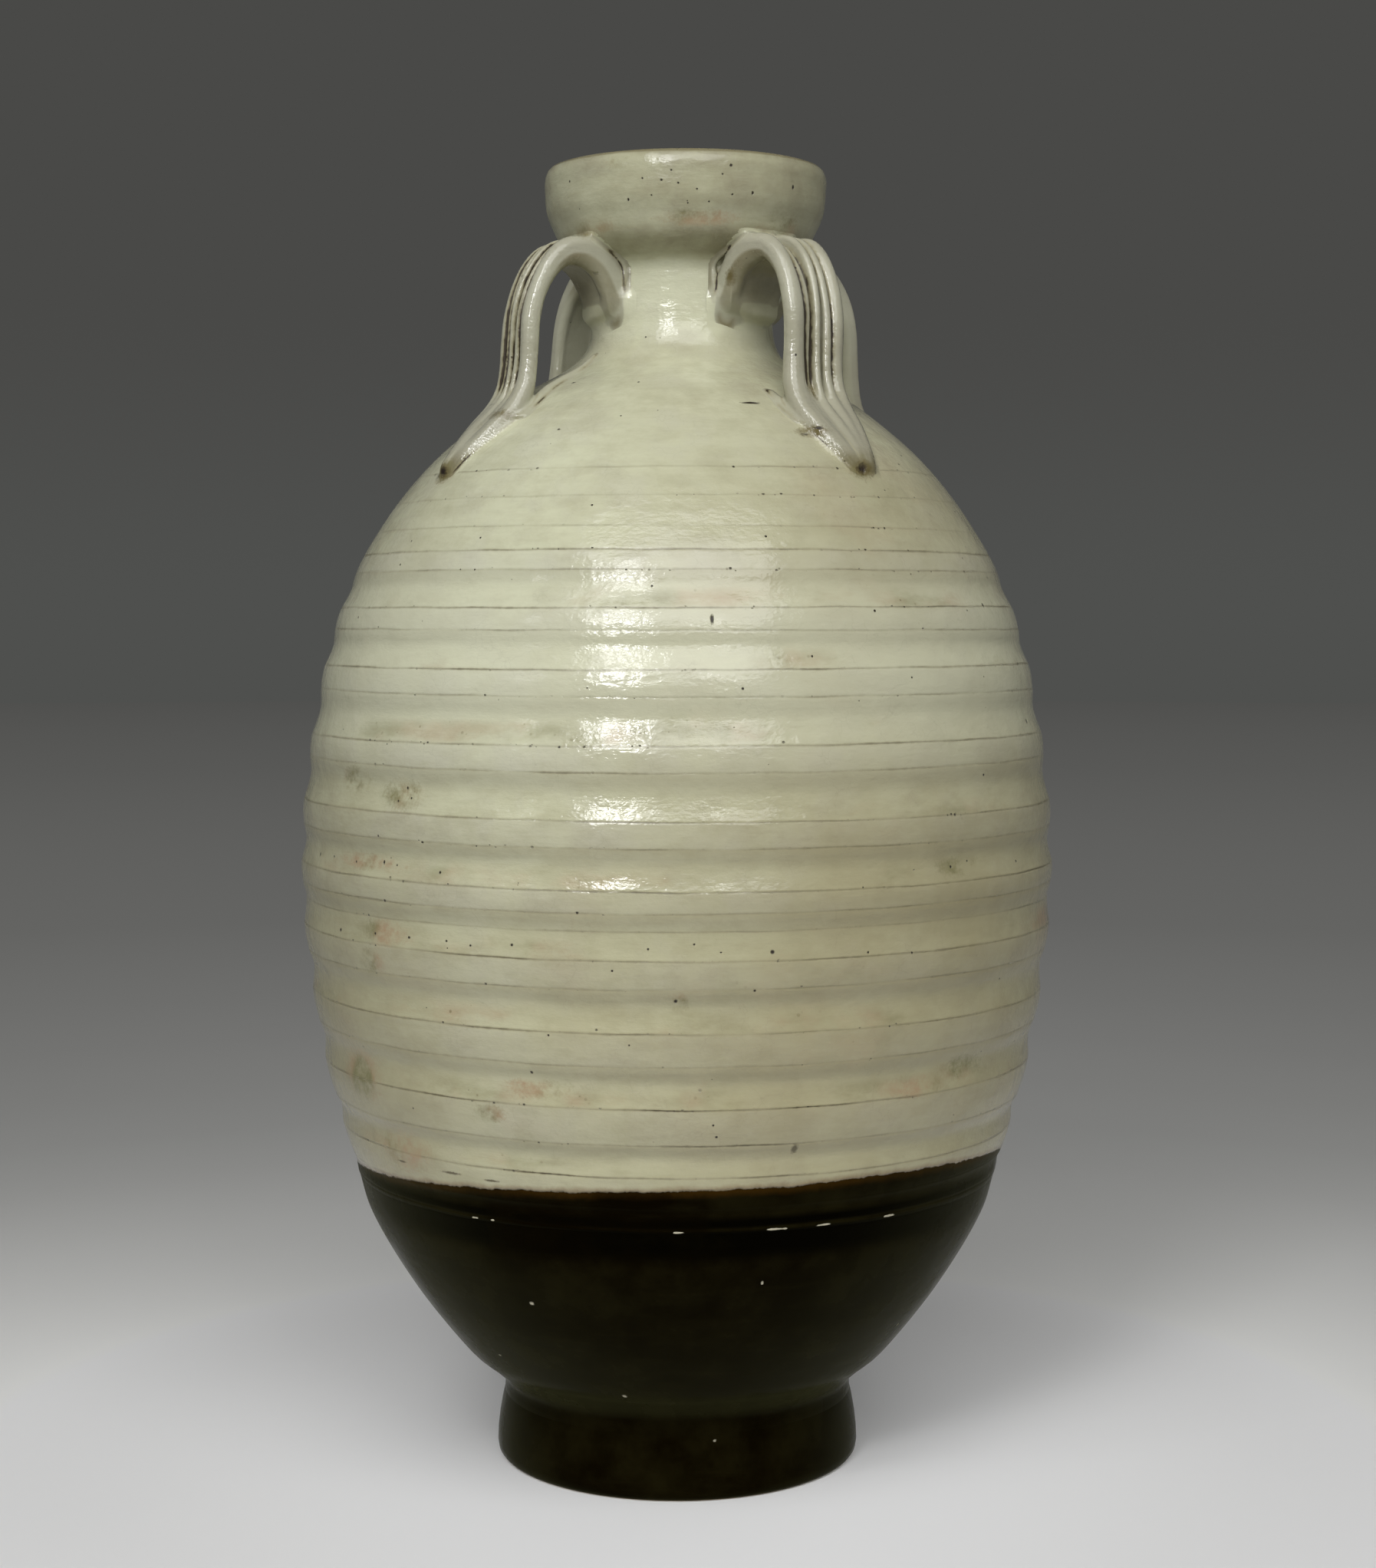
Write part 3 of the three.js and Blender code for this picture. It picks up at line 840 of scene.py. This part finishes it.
creamLook = {
    "yellow": linear(203, 204, 175),
    "grey": linear(196, 195, 176),
    # painted shade for the hollows under the bands and between the strands
    "hollow": linear(176, 175, 152),
    "warm": linear(178, 171, 136),
    # painted shade for the side turned away from the light
    "side": linear(146, 134, 96),
    "stain": linear(146, 139, 108),
    "strap": linear(160, 158, 141),
    # painted light
    "fresh": linear(216, 217, 192),
    "moss": linear(128, 124, 88),
    "rust": linear(166, 142, 112),
    "lineColor": linear(88, 80, 56),
    "pit": linear(40, 30, 20),
    # dirt, also used for painted shade in creases, under the arches and under the cup
    "grimeColor": linear(106, 96, 62),
    "roughness": 0.13,
    "shadedSide": (0.93, 0.37, 0.0),
    "dullSide": (-0.57, -0.82, 0.0),
    # heights in metres between which a tone comes in and goes out again, with its share
    # painted light on the upper belly and high on the neck, painted shade in patches low on the neck
    "cleanBelly": ((0.17, 0.2), (0.212, 0.24, 0.45, 0.06)),
    "cleanNeck": ((0.28, 0.3), (0.302, 0.309, 0.5, 0.0)),
    "dustyNeck": ((0.255, 0.272), (0.282, 0.296, 0.24, 0.0)),
}
darkLook = {
    "black": linear(4, 3, 1),
    "deep": linear(10, 6, 1),
    "olive": linear(29, 26, 10),
    # painted reflection where the dark glaze turns away
    "sheen": linear(64, 64, 40),
    "amber": linear(54, 36, 8),
    "singed": linear(112, 78, 36),
    "speck": linear(196, 190, 168),
    "shine": 0.03,
    "tint": (0.9, 0.88, 0.5, 1.0),
    "bending": 1.2,
}
clayLook = {
    "pale": linear(168, 148, 118),
    "brown": linear(120, 98, 70),
    "roughness": 0.85,
}
wallMarks = {  # bearing, height, radius, and height over width of single marks in the glaze
    "pinholes": [
        (-92.3, 252.0, 1.2, 1), (5.7, 251.9, 1.35, 1), (-35.0, 129.5, 0.5, 1), (-17.1, 328.6, 0.45, 1),
        (-44.4, 324.8, 0.4, 1), (-37.8, 324.0, 0.3, 1), (12.8, 324.8, 0.45, 1.6),
        (-16.2, 321.5, 0.3, 1), (-88.0, 326.7, 0.35, 1), (-58.3, 320.4, 0.35, 1.5),
        (-29.6, 216.0, 0.5, 4), (-69.5, 157.1, 0.4, 1), (-57.9, 141.6, 0.4, 1), (-68.5, 141.4, 0.35, 1),
        (-56.0, 112.2, 0.4, 1.2), (25.0, 219.0, 0.5, 1.6), (-30.5, 322.6, 0.25, 1),
        (-48.5, 321.2, 0.25, 1), (-25.5, 319.6, 0.25, 1), (-40.5, 327.2, 0.25, 1),
        (-52.0, 325.4, 0.3, 1), (-20.5, 326.4, 0.28, 1), (-7.5, 322.2, 0.35, 1.5),
        (-34.0, 319.2, 0.25, 1), (-65.1, 262.0, 0.5, 0.5), (-77.2, 275.1, 0.7, 0.5),
        (-14.4, 268.7, 3.0, 0.12), (-76.6, 176.2, 0.35, 1.3), (-100.9, 157.6, 0.4, 1.5),
        (-94.9, 157.9, 0.35, 1), (-87.7, 157.5, 0.35, 1), (-80.8, 158.2, 0.4, 1.6),
        (-77.9, 157.8, 0.3, 1), (-82.9, 141.2, 0.35, 1), (-75.5, 141.3, 0.45, 0.8),
        (-64.4, 140.8, 0.3, 1), (-38.7, 141.5, 0.3, 1), (-32.5, 142.6, 0.3, 1), (7.0, 157.9, 0.35, 1.3),
        (10.6, 158.9, 0.3, 1), (-75.5, 173.8, 0.3, 1), (-78.1, 172.9, 0.3, 1), (-28.9, 140.8, 0.3, 0.6),
        (-7.8, 139.5, 0.3, 1),
    ],
    "halos": [
        (-92.3, 252.2, 5.0, 0.8), (5.7, 252.2, 5.2, 0.8), (-34.6, 129.3, 3.2, 0.8),
        (-77.4, 174.6, 9.0, 0.45), (-89.0, 177.4, 8.0, 0.45), (-80.8, 141.8, 9.0, 0.4),
        (-84.1, 134.4, 6.0, 0.6), (-90.9, 261.9, 4.0, 0.8), (10.0, 315.0, 8.0, 0.5),
        (-80.0, 314.5, 8.0, 0.4), (-30.0, 316.0, 12.0, 0.2), (-62.0, 330.0, 4.0, 0.5),
        (3.0, 106.5, 12.0, 0.25), (12.5, 109.0, 10.0, 0.35), (-84.0, 88.5, 12.0, 0.5),
        (-55.4, 108.4, 9.0, 0.3), (-63.4, 101.3, 5.0, 0.5), (9.0, 157.8, 9.0, 0.3),
        (-84.0, 157.9, 16.0, 0.15), (-92.0, 105.0, 12.0, 0.6),
    ],
    "streaks": [
        (-17.0, 94.0, 1.0, 4.2), (-84.9, 85.2, 2.2, 0.15), (-73.0, 85.0, 3.6, 0.12),
        (-65.0, 84.6, 2.6, 0.14),
    ],
}
handleMarks = [  # place, radius and stretch of cracks and holes in the handles
    ((30.0, -6.0, 301.8), 1.1, (1.0, 1.0, 1.2)), ((37.5, -5.2, 305.0), 1.1, (0.7, 1.0, 1.5)),
    ((44.2, -4.0, 306.0), 0.6, (1.0, 1.0, 1.0)), ((7.3, -26.2, 292.4), 1.2, (1.0, 1.0, 0.6)),
    ((7.1, -31.1, 303.2), 1.1, (1.0, 0.5, 1.6)), ((6.4, -50.7, 295.3), 0.5, (1.0, 1.0, 1.0)),
    ((61.0, -0.6, 262.2), 0.9, (0.6, 0.8, 1.7)), ((61.2, 1.4, 261.0), 0.8, (1.0, 0.5, 1.7)),
    ((59.0, -3.4, 260.4), 1.0, (1.0, 0.6, 1.5)), ((3.9, -55.0, 266.0), 1.5, (0.6, 0.8, 1.6)),
    ((68.9, 7.2, 252.4), 1.7, (1.0, 1.0, 1.0)), ((-2.8, -69.2, 252.4), 1.6, (1.0, 1.0, 1.0)),
]
handleHalos = [  # brown stains round the marks, in the same terms
    ((68.9, 7.4, 252.2), 3.6, (1.0, 1.0, 1.2)), ((-2.8, -69.2, 252.2), 3.4, (1.0, 1.0, 1.2)),
    ((51.9, 4.2, 271.0), 2.2, (1.0, 1.4, 0.3)), ((45.4, 3.0, 302.0), 1.6, (1.0, 1.4, 0.4)),
    ((60.0, -1.6, 261.4), 2.6, (0.6, 0.5, 1.4)), ((3.9, -55.4, 266.2), 3.0, (0.6, 0.8, 1.4)),
    ((30.0, -5.4, 301.6), 2.4, (1.0, 1.0, 0.8)),
]
footMarks = [  # pale chips in the dark glaze, in the same terms
    (-62.7, 53.6, 0.7, 1), (-48.4, 27.9, 0.7, 1), (-79.1, 9.9, 0.8, 1.4), (-70.3, 8.0, 0.7, 1),
    (-23.1, 14.4, 0.6, 1), (-81.3, 34.7, 0.7, 0.4), (-20.0, 61.0, 0.4, 2.5), (24.0, 40.0, 0.6, 1.3),
    (110.0, 30.0, 0.8, 1), (190.0, 48.0, 0.7, 1),
]


def spots(g, place, marks):
    # the strongest of several marks, each given by its middle, radius and stretch
    masks = []
    for middle, radius, stretch in marks:
        shape = {"Middle": [v * mm for v in middle], "Stretch": stretch, "Radius": radius * mm}
        masks.append(g.use(spot, Place=place, **shape)["Mask"])
    return g.most(*masks)


def wallSpots(g, place, marks):
    placed = []
    for bearing, height, radius, tall in marks:
        middle = wallPoints(np.array([height]), np.array([math.radians(bearing)]))[0, 0]
        placed.append((middle.tolist(), radius, (1.0, 1.0, 1 / tall)))
    return spots(g, place, placed)


def creamGroup():
    look = creamLook
    inputs = [key.capitalize() for key in glazeValues]
    g, given, out = startGroup("creamGlaze", ["Place", *inputs], glazeOutputs)
    place = given["Place"]
    height = g.add("SeparateXYZ", {0: place})[2]
    broad = g.noise(place, 17, 5, 0.6)
    cloudy = g.noise(place, 75, 4, 0.6)
    broken = g.noise(place, 330, 4, 0.7)
    fine = g.noise(place, 420, 3, 0.6)
    thrown = g.noise(g.stretched(place, (0.12, 0.12, 1.0)), 420, 3, 0.6)
    mottled = g.noise(g.stretched(place, (0.7, 0.7, 1.3)), 130, 5, 0.65)
    blotched = g.noise(g.stretched(place, (0.6, 0.6, 1.5)), 34, 6, 0.62)
    # darker and yellower towards the bottom, with painted shade down one side, and dull on the other
    # side
    uneven = g.ramp(broad, 0.3, 0.7, 0.75, 1.2)
    low = g.times(g.ramp(height, 0.1, 0.2, 0.5, 0.0), uneven)
    shaded = g.times(g.ramp(g.towards(place, look["shadedSide"]), 0.0, 0.085, 0.0, 0.55), uneven)
    dull = g.ramp(g.towards(place, look["dullSide"]), 0.03, 0.09)
    body = [
        (g.plus(g.times(given["Crest"], 0.55), g.ramp(cloudy, 0.35, 0.7, -0.2, 0.4)), "grey"),
        # painted shade under each band and between the strands
        (g.times(given["Hollow"], 0.85), "hollow"),
        (g.ramp(given["Crest"], 1.0, 1.25, 0.0, 0.4), "strap"),
        (low, "warm"),
        # painted shade down one side
        (shaded, "side"),
        (g.times(dull, g.ramp(height, 0.08, 0.2, 0.65, 0.36)), "stain"),
        (g.ramp(broad, 0.5, 0.75, 0.0, 0.3), "stain"),
        (g.ramp(thrown, 0.3, 0.7, 0.14, 0.0), "stain"),
        (g.ramp(mottled, 0.42, 0.68, 0.0, 0.24), "stain"),
        # painted light on the upper belly and the neck, painted shade in patches low on the neck
        (g.window(height, *look["cleanBelly"]), "fresh"),
        (g.window(height, *look["cleanNeck"]), "fresh"),
        (g.times(g.window(height, *look["dustyNeck"]), g.ramp(cloudy, 0.3, 0.6)), "stain"),
        (g.times(g.ramp(given["Ink"], 1.5, 2.1), 0.6), "strap"),
    ]
    # blotches of moss and rust tones with freckles, drawn out along the hollows
    tint = g.mix(g.ramp(g.noise(place, 60, 2, 0.5), 0.42, 0.58), look["moss"], look["rust"])
    zone = g.weighted((given["Pocket"], 0.75), (g.plus(low, shaded), 0.35))
    freckles = g.use(pits, Place=place, Scale=560, Share=0.5, Size=0.3)["Mask"]
    blotches = [
        (g.times(g.ramp(blotched, 0.5, 0.7, 0.0, 0.7), zone), "tint"),
        (g.times(freckles, g.times(g.ramp(blotched, 0.54, 0.68, 0.0, 0.8), zone)), "grimeColor"),
    ]
    # fine crackle in some patches
    bent = g.add("TexNoise", {"Vector": place, "Scale": 300.0})["Color"]
    bent = g.add("VectorMath", {0: bent, 3: 0.004}, operation="SCALE")[0]
    cells = {"Vector": g.vector("ADD", place, bent)[0], "Scale": 210.0}
    crackle = g.add("TexVoronoi", cells, feature="DISTANCE_TO_EDGE")["Distance"]
    crackle = g.times(g.ramp(crackle, 0.0, 0.03, 1.0, 0.0), g.ramp(cloudy, 0.45, 0.65, 0.0, 0.08))
    # the grime value is dirt, with painted shade in the creases where the handles meet the wall, under
    # the arches and under the cup; dirt is also caught in the lines that the rib tool scored
    grime = g.ramp(g.times(given["Grime"], g.plus(cloudy, 0.5)), 0.1, 1.0)
    near = g.plus(given["Line"], g.ramp(fine, 0.3, 0.7, -0.1, 0.1))
    patchy = g.ramp(g.noise(place, 55, 4, 0.6), 0.35, 0.62, 0.35, 1.0)
    scored = g.times(g.ramp(near, 0.5, 0.94), g.times(given["Ink"], patchy))
    # pits in the glaze, more of them along the lines and in the hollows
    holes = g.use(pits, Place=place, Scale=230, Share=0.3, Size=0.085)["Mask"]
    caught = g.use(pits, Place=place, Scale=900, Share=0.3, Size=0.4)["Mask"]
    caught = g.times(caught, g.ramp(near, 0.25, 0.6), g.ramp(blotched, 0.5, 0.6, 0.1, 0.9))
    pooled = g.use(pits, Place=place, Scale=170, Share=0.28, Size=0.11)["Mask"]
    holes = g.most(holes, caught, g.times(pooled, given["Pocket"]))
    holes = g.most(holes, wallSpots(g, place, wallMarks["pinholes"]), spots(g, place, handleMarks))
    halos = wallSpots(g, place, wallMarks["halos"])
    halos = g.times(halos, g.ramp(g.plus(broken, cloudy), 0.8, 1.25, 0.08, 0.95))
    burns = g.times(spots(g, place, handleHalos), g.ramp(broken, 0.3, 0.6, 0.45, 1.0))
    dirt = [
        (crackle, "lineColor"),
        # dirt and painted shade from the grime value
        (g.times(grime, 0.8), "grimeColor"),
        # dirt and painted shade beside the scored lines
        (g.times(g.ramp(near, 0.0, 0.8), g.times(given["Ink"], 0.35)), "stain"),
        (scored, "lineColor"),
        (g.ramp(scored, 0.75, 1.3, 0.0, 0.8), "pit"),
        (halos, "tint"),
        (burns, "grimeColor"),
        (g.times(wallSpots(g, place, wallMarks["streaks"]), 0.9), "lineColor"),
        (holes, "pit"),
    ]
    color = g.layered(look["yellow"], body + blotches + dirt, {**look, "tint": tint})
    rough = g.plus(look["roughness"], g.times(grime, 0.12), g.ramp(cloudy, 0.35, 0.7, -0.03, 0.06))
    g.feed(out["Color"], color)
    g.feed(out["Roughness"], g.plus(rough, g.times(g.plus(scored, holes), 0.3)))
    relief = [(cloudy, 0.0004), (mottled, 0.00034), (fine, 0.00006), (thrown, 0.0001)]
    g.feed(out["Height"], g.weighted(*relief, (holes, -0.00025)))
    return g.tree


def darkGroup():
    look = darkLook
    g, given, out = startGroup("darkGlaze", ["Place", "Thin", "Chips", "Pocket"], glazeOutputs)
    place = given["Place"]
    cloudy = g.noise(place, 45, 5, 0.6)
    fine = g.noise(place, 500, 3, 0.6)
    thrown = g.noise(g.stretched(place, (0.15, 0.15, 1.0)), 260, 4, 0.6)
    specks = g.use(pits, Place=place, Scale=120, Share=0.14, Size=0.06)["Mask"]
    chips = g.ramp(g.times(given["Chips"], g.plus(fine, 0.45)), 0.55, 0.66)
    specks = g.most(specks, chips, wallSpots(g, place, footMarks))
    layers = [
        (g.ramp(cloudy, 0.4, 0.75, 0.0, 0.8), "olive"),
        (g.ramp(thrown, 0.5, 0.75, 0.0, 0.3), "olive"),
        (g.times(given["Thin"], g.ramp(cloudy, 0.3, 0.65, 0.35, 1.0)), "amber"),
        (g.times(given["Pocket"], g.ramp(cloudy, 0.3, 0.55, 0.2, 1.0)), "black"),
        (specks, "speck"),
    ]
    relief = [(cloudy, 0.0004), (thrown, 0.0001), (fine, 0.00003), (specks, -0.0002)]
    g.feed(out["Color"], g.layered(look["deep"], layers, look))
    g.feed(out["Roughness"], g.plus(g.ramp(cloudy, 0.35, 0.7, 0.16, 0.34), g.times(specks, 0.4)))
    g.feed(out["Height"], g.weighted(*relief))
    return g.tree


def clayGroup():
    g, given, out = startGroup("bareClay", ["Place"], ["Color", "Height"])
    grain = g.noise(given["Place"], 260, 6, 0.7)
    g.feed(out["Color"], g.mix(g.ramp(grain, 0.35, 0.7), clayLook["pale"], clayLook["brown"]))
    g.feed(out["Height"], g.times(grain, 0.0004))
    return g.tree


cream = creamGroup()
dark = darkGroup()
clay = clayGroup()


def startMaterial(name):
    material = bpy.data.materials.new(name)
    material.use_nodes = True
    g = Recipe(material.node_tree)
    place = g.add("TexCoord")["Object"]
    read = {key: g.add("Attribute", attribute_name=key)["Fac"] for key in valueNames}
    return material, g, place, read


def finishMaterial(g, finish, height):
    # finish holds values for the shader's own inputs
    normal = g.add("Bump", {"Height": height, "Distance": 1.0, "Strength": 1.0})["Normal"]
    g.feedAll(g.tree.nodes["Principled BSDF"].inputs, {**finish, "Normal": normal})


def useCream(g, place, read):
    return g.use(cream, Place=place, **{key.capitalize(): read[key] for key in glazeValues})


def overClay(g, place, bare, color, rough, height):
    body = g.use(clay, Place=place)
    covered = g.times(rough, g.math("SUBTRACT", 1.0, bare))
    rough = g.plus(covered, g.times(bare, clayLook["roughness"]))
    return g.mix(bare, color, body["Color"]), rough, g.plus(height, g.times(body["Height"], bare))


def creamMaterial():
    material, g, place, read = startMaterial("creamGlazeOverClay")
    glaze = useCream(g, place, read)
    parts = [glaze[key] for key in glazeOutputs]
    color, rough, height = overClay(g, place, read["bare"], *parts)
    finishMaterial(g, {"Base Color": color, "Roughness": rough, "Specular IOR Level": 0.5}, height)
    return material


def meetingMaterial():
    # both glazes, with the cream one's edge lying over the dark one
    look = darkLook
    material, g, place, read = startMaterial("creamGlazeOverDark")
    ragged = g.ramp(g.noise(place, 260, 3, 0.6), 0.2, 0.8, -0.35, 0.35)
    above = g.plus(read["aboveMeeting"], ragged)
    border = (-0.12, 0.18)
    share = g.ramp(above, *border)
    upper = useCream(g, place, read)
    thin = g.ramp(above, -2.4, -0.1)
    lower = g.use(dark, Place=place, Thin=thin, Chips=read["chips"], Pocket=read["pocket"])
    # the dark glaze has a painted olive sheen, a painted reflection where it turns away
    facing = g.add("LayerWeight", {"Blend": 0.3})["Facing"]
    color = g.mix(g.ramp(facing, 0.1, 0.9, 0.0, 0.8), lower["Color"], look["sheen"])
    color = g.mix(share, color, upper["Color"])
    singed = g.times(g.ramp(above, 0.0, 1.6, 0.6, 0.0), share)
    color = g.mix(singed, color, look["singed"])
    rest = g.math("SUBTRACT", 1.0, share)
    rough = g.weighted((lower["Roughness"], rest), (upper["Roughness"], share))
    height = g.weighted((lower["Height"], rest), (upper["Height"], share))
    height = g.plus(height, g.times(g.ramp(above, -0.3, 0.5), 0.00025))
    color, rough, height = overClay(g, place, read["bare"], color, rough, height)
    finish = {
        "Base Color": color,
        "Roughness": rough,
        "Specular IOR Level": g.ramp(above, *border, look["shine"], 0.5),
        "Specular Tint": g.mix(share, look["tint"], [1, 1, 1, 1]),
        "IOR": g.ramp(above, *border, look["bending"], 1.5),
    }
    finishMaterial(g, finish, height)
    return material


creamClay = creamMaterial()
glazesMeeting = meetingMaterial()
print("glazes mixed")

# Foot ring, glazed outside and bare where it stands
footOut = [
    (45.9, 0.4), (46.5, 1.2), (46.75, 2.8), (46.6, 6.0), (46.2, 9.5), (45.5, 13.5), (44.9, footTop),
]
footBare = [(38.3, footTop), (38.3, 1.2), (39.1, 0.2), (40.0, 0.0), (44.4, 0.0), (45.3, 0.1)]
footStrips = [plainStrip(footBare, 1.0, -50.0), plainStrip(footOut, 0.0, -50.0)]
turnedPiece("footRing", footStrips, [1], glazesMeeting, ["foot_ring"])

# Lower body, closed on the axis below and above its floor
innerFloor = float(innerRadius(28.0))
floorSection = [(innerFloor - 3.5, 22.8), (innerFloor - 10, 19.6), (innerFloor - 20, 18.2), (6.0, 18.0)]
lowerStrips = [
    plainStrip([(6.0, 8.0), (22.0, 8.0), (38.0, 8.0)], 1.0, -50.0),
    plainStrip([(38.0, 8.0), (38.0, footTop)], 1.0, -50.0),
    outsideStrip(footTop, glazeJoint),
    inside(glazeJoint, 28.0, 1.0),
    plainStrip(floorSection, 1.0, -50.0),
]
lowerNodes = ["lower_body"]
turnedPiece("lowerBody", lowerStrips, [0, 1, 2], glazesMeeting, lowerNodes, looped=False)


def wallRing(name, low, high, material, bare, nodes):
    strips = [outsideStrip(low, high), inside(high, low, bare)]
    turnedPiece(name, strips, [0, 1], material, nodes)


wallRing("belly", glazeJoint, shoulderJoint, glazesMeeting, 1.0, ["belly"])
wallRing("shoulder", shoulderJoint, neckJoint, creamClay, 1.0, ["shoulder"])
wallRing("neck", neckJoint, cupJoint, creamClay, 0.0, ["neck"])

# Mouth cup with its rolled lip
lipSection = [
    (36.85, 329.4), (36.65, 330.8), (36.2, 332.0), (35.5, 332.75), (34.7, 333.0), (33.9, 332.75),
    (33.2, 332.0), (32.8, 330.8), (32.6, 329.0), (32.3, 325.0), (31.6, 321.6), (29.8, 318.6),
    (26.6, 316.0), (22.4, 314.2), (19.6, 312.4), (18.4, cupJoint),
]
lipGrime = [[0.5], [0.5], [0.6], [1.2], [1.6], [1.2], [0.7]] + [[0.6]] * 9
cupStrips = [outsideStrip(cupJoint, wall["lipBase"]), plainStrip(lipSection, grime=np.array(lipGrime))]
turnedPiece("mouthCup", cupStrips, [1], creamClay, ["mouth_cup"])
print("wall turned")

for number, (side, bearing) in enumerate(strap["bearings"].items()):
    makeHandle(side, bearing, 1.0 + number * 1.7, creamClay)
print("handles pulled")

# Floor, lights and camera
stage = {
    # painted light: the floor's shade falls from pale by the vase to grey far off, a painted pool of
    # light
    "floorShades": [  # distance from the vase in metres and the shade seen there
        (0.0, 212), (0.13, 208), (0.16, 199), (0.205, 185), (0.25, 174), (0.31, 161), (0.38, 146),
        (0.46, 134), (0.56, 124), (0.69, 115), (0.85, 109), (1.2, 100), (3.1, 88), (6.0, 80),
    ],
    "floorPaleness": 1.67,
    "floorPalest": 0.85,
    "glowReach": (0.22, 0.75),
    # painted light: how far round the foot the floor glows, and how strongly
    "footGlow": (0.06, 0.17, 0.12, 0.0),
    "skyColor": linear(79, 80, 78),
    "skyTop": linear(73, 73, 71),
    "floorRadius": 6.0,
    "worldStrength": 0.12,
}
lights = [  # name, bearing, elevation, distance, size and power, and whether it glints in the glaze
    ("softLight", -33, 44, 2.0, (2.0, 1.5), 30, True),
    ("windowLight", -54, 27, 1.6, (0.34, 0.2), 5.4, True),
    ("windowTop", -54, 42, 1.6, (0.34, 0.12), 2.2, True),
    ("sideLight", 95, 22, 1.6, (0.8, 1.0), 2.0, False),
    ("leftLamp", -83, 25, 1.6, (0.07, 0.05), 0.4, True),
    ("rightLamp", -22, 27, 1.6, (0.09, 0.05), 0.45, True),
]
camera = {
    "bearing": -35.0,
    "distance": 690.0,
    "eyeHeight": 216.9,
    "aside": 2.8,
    "lens": 60.5,
    "shiftDown": 0.1079,
}


def makeFloor():
    mesh = bpy.data.meshes.new("floor")
    turns = [2 * math.pi * n / 64 for n in range(64)]
    rim = [(stage["floorRadius"] * math.cos(a), stage["floorRadius"] * math.sin(a), 0) for a in turns]
    mesh.from_pydata(rim, [], [list(range(64))])
    material = bpy.data.materials.new("floorPaint")
    material.use_nodes = True
    g = Recipe(material.node_tree)
    away = g.length(g.add("TexCoord")["Object"])
    share = g.math("DIVIDE", away, stage["floorRadius"])
    # the floor's painted pool of light, by distance from the vase
    seen = g.add("ValToRGB", {0: g.math("SQRT", share, 0.0)})["Color"]
    stops = seen.node.color_ramp.elements
    for number, (distance, shade) in enumerate(stage["floorShades"]):
        position = math.sqrt(distance / stage["floorRadius"])
        stop = stops[number] if number < 2 else stops.new(position)
        stop.position, stop.color = position, linear(shade, shade, shade - 2)
    paint = g.vector("MULTIPLY", seen, [stage["floorPaleness"]] * 3)[0]
    paint = g.vector("MINIMUM", paint, [stage["floorPalest"]] * 3)[0]
    # far off the floor only glows in the backdrop's own shades, so it meets the world without an edge;
    # near the foot it glows a little as well, painted light
    glow = g.ramp(away, *stage["glowReach"])
    finish = {
        "Base Color": g.mix(glow, paint, [0, 0, 0, 1]),
        "Roughness": 0.7,
        "Specular IOR Level": g.ramp(away, *stage["glowReach"], 0.2, 0.0),
        "Emission Color": seen,
        "Emission Strength": g.plus(glow, g.ramp(away, *stage["footGlow"])),
    }
    g.feedAll(g.tree.nodes["Principled BSDF"].inputs, finish)
    mesh.materials.append(material)
    floor = bpy.data.objects.new("floor", mesh)
    bpy.context.scene.collection.objects.link(floor)


def makeWorld():
    world = bpy.data.worlds.new("studio")
    world.use_nodes = True
    g = Recipe(world.node_tree)
    path = g.add("LightPath")
    seen = g.most(path["Is Camera Ray"], path["Is Glossy Ray"])
    up = g.add("SeparateXYZ", {0: g.add("TexCoord")["Generated"]})[2]
    sky = g.mix(g.ramp(up, 0.0, 0.12), stage["skyColor"], stage["skyTop"])
    light = {
        "Color": g.mix(seen, [0.9, 0.9, 0.9, 1.0], sky),
        "Strength": g.add("MapRange", {0: seen, 3: stage["worldStrength"], 4: 1.0})[0],
    }
    g.feedAll(g.tree.nodes["Background"].inputs, light)
    bpy.context.scene.world = world


def areaLight(name, bearing, elevation, distance, size, power, glints):
    lamp = bpy.data.lights.new(name, "AREA")
    lamp.shape = "RECTANGLE"
    lamp.size, lamp.size_y = size
    lamp.energy = power
    thing = bpy.data.objects.new(name, lamp)
    thing.visible_glossy = glints
    bpy.context.scene.collection.objects.link(thing)
    b, e = math.radians(bearing), math.radians(elevation)
    away = Vector((math.cos(b) * math.cos(e), math.sin(b) * math.cos(e), math.sin(e)))
    thing.location = Vector((0, 0, 0.17)) + away * distance
    thing.rotation_euler = away.to_track_quat("Z", "Y").to_euler()


def makeCamera():
    data = bpy.data.cameras.new("camera")
    data.lens = camera["lens"]
    data.sensor_width = 36
    data.shift_y = -camera["shiftDown"]
    thing = bpy.data.objects.new("camera", data)
    bpy.context.scene.collection.objects.link(thing)
    b = math.radians(camera["bearing"])
    away = Vector((math.cos(b), math.sin(b), 0))
    right = Vector((-math.sin(b), math.cos(b), 0))
    thing.location = (away * camera["distance"] + right * camera["aside"]) * mm
    thing.location.z = camera["eyeHeight"] * mm
    thing.rotation_euler = away.to_track_quat("Z", "Y").to_euler()
    bpy.context.scene.camera = thing


makeFloor()
makeWorld()
for light in lights:
    areaLight(*light)
makeCamera()
bpy.context.scene.view_settings.view_transform = "Standard"
print("stage ready")
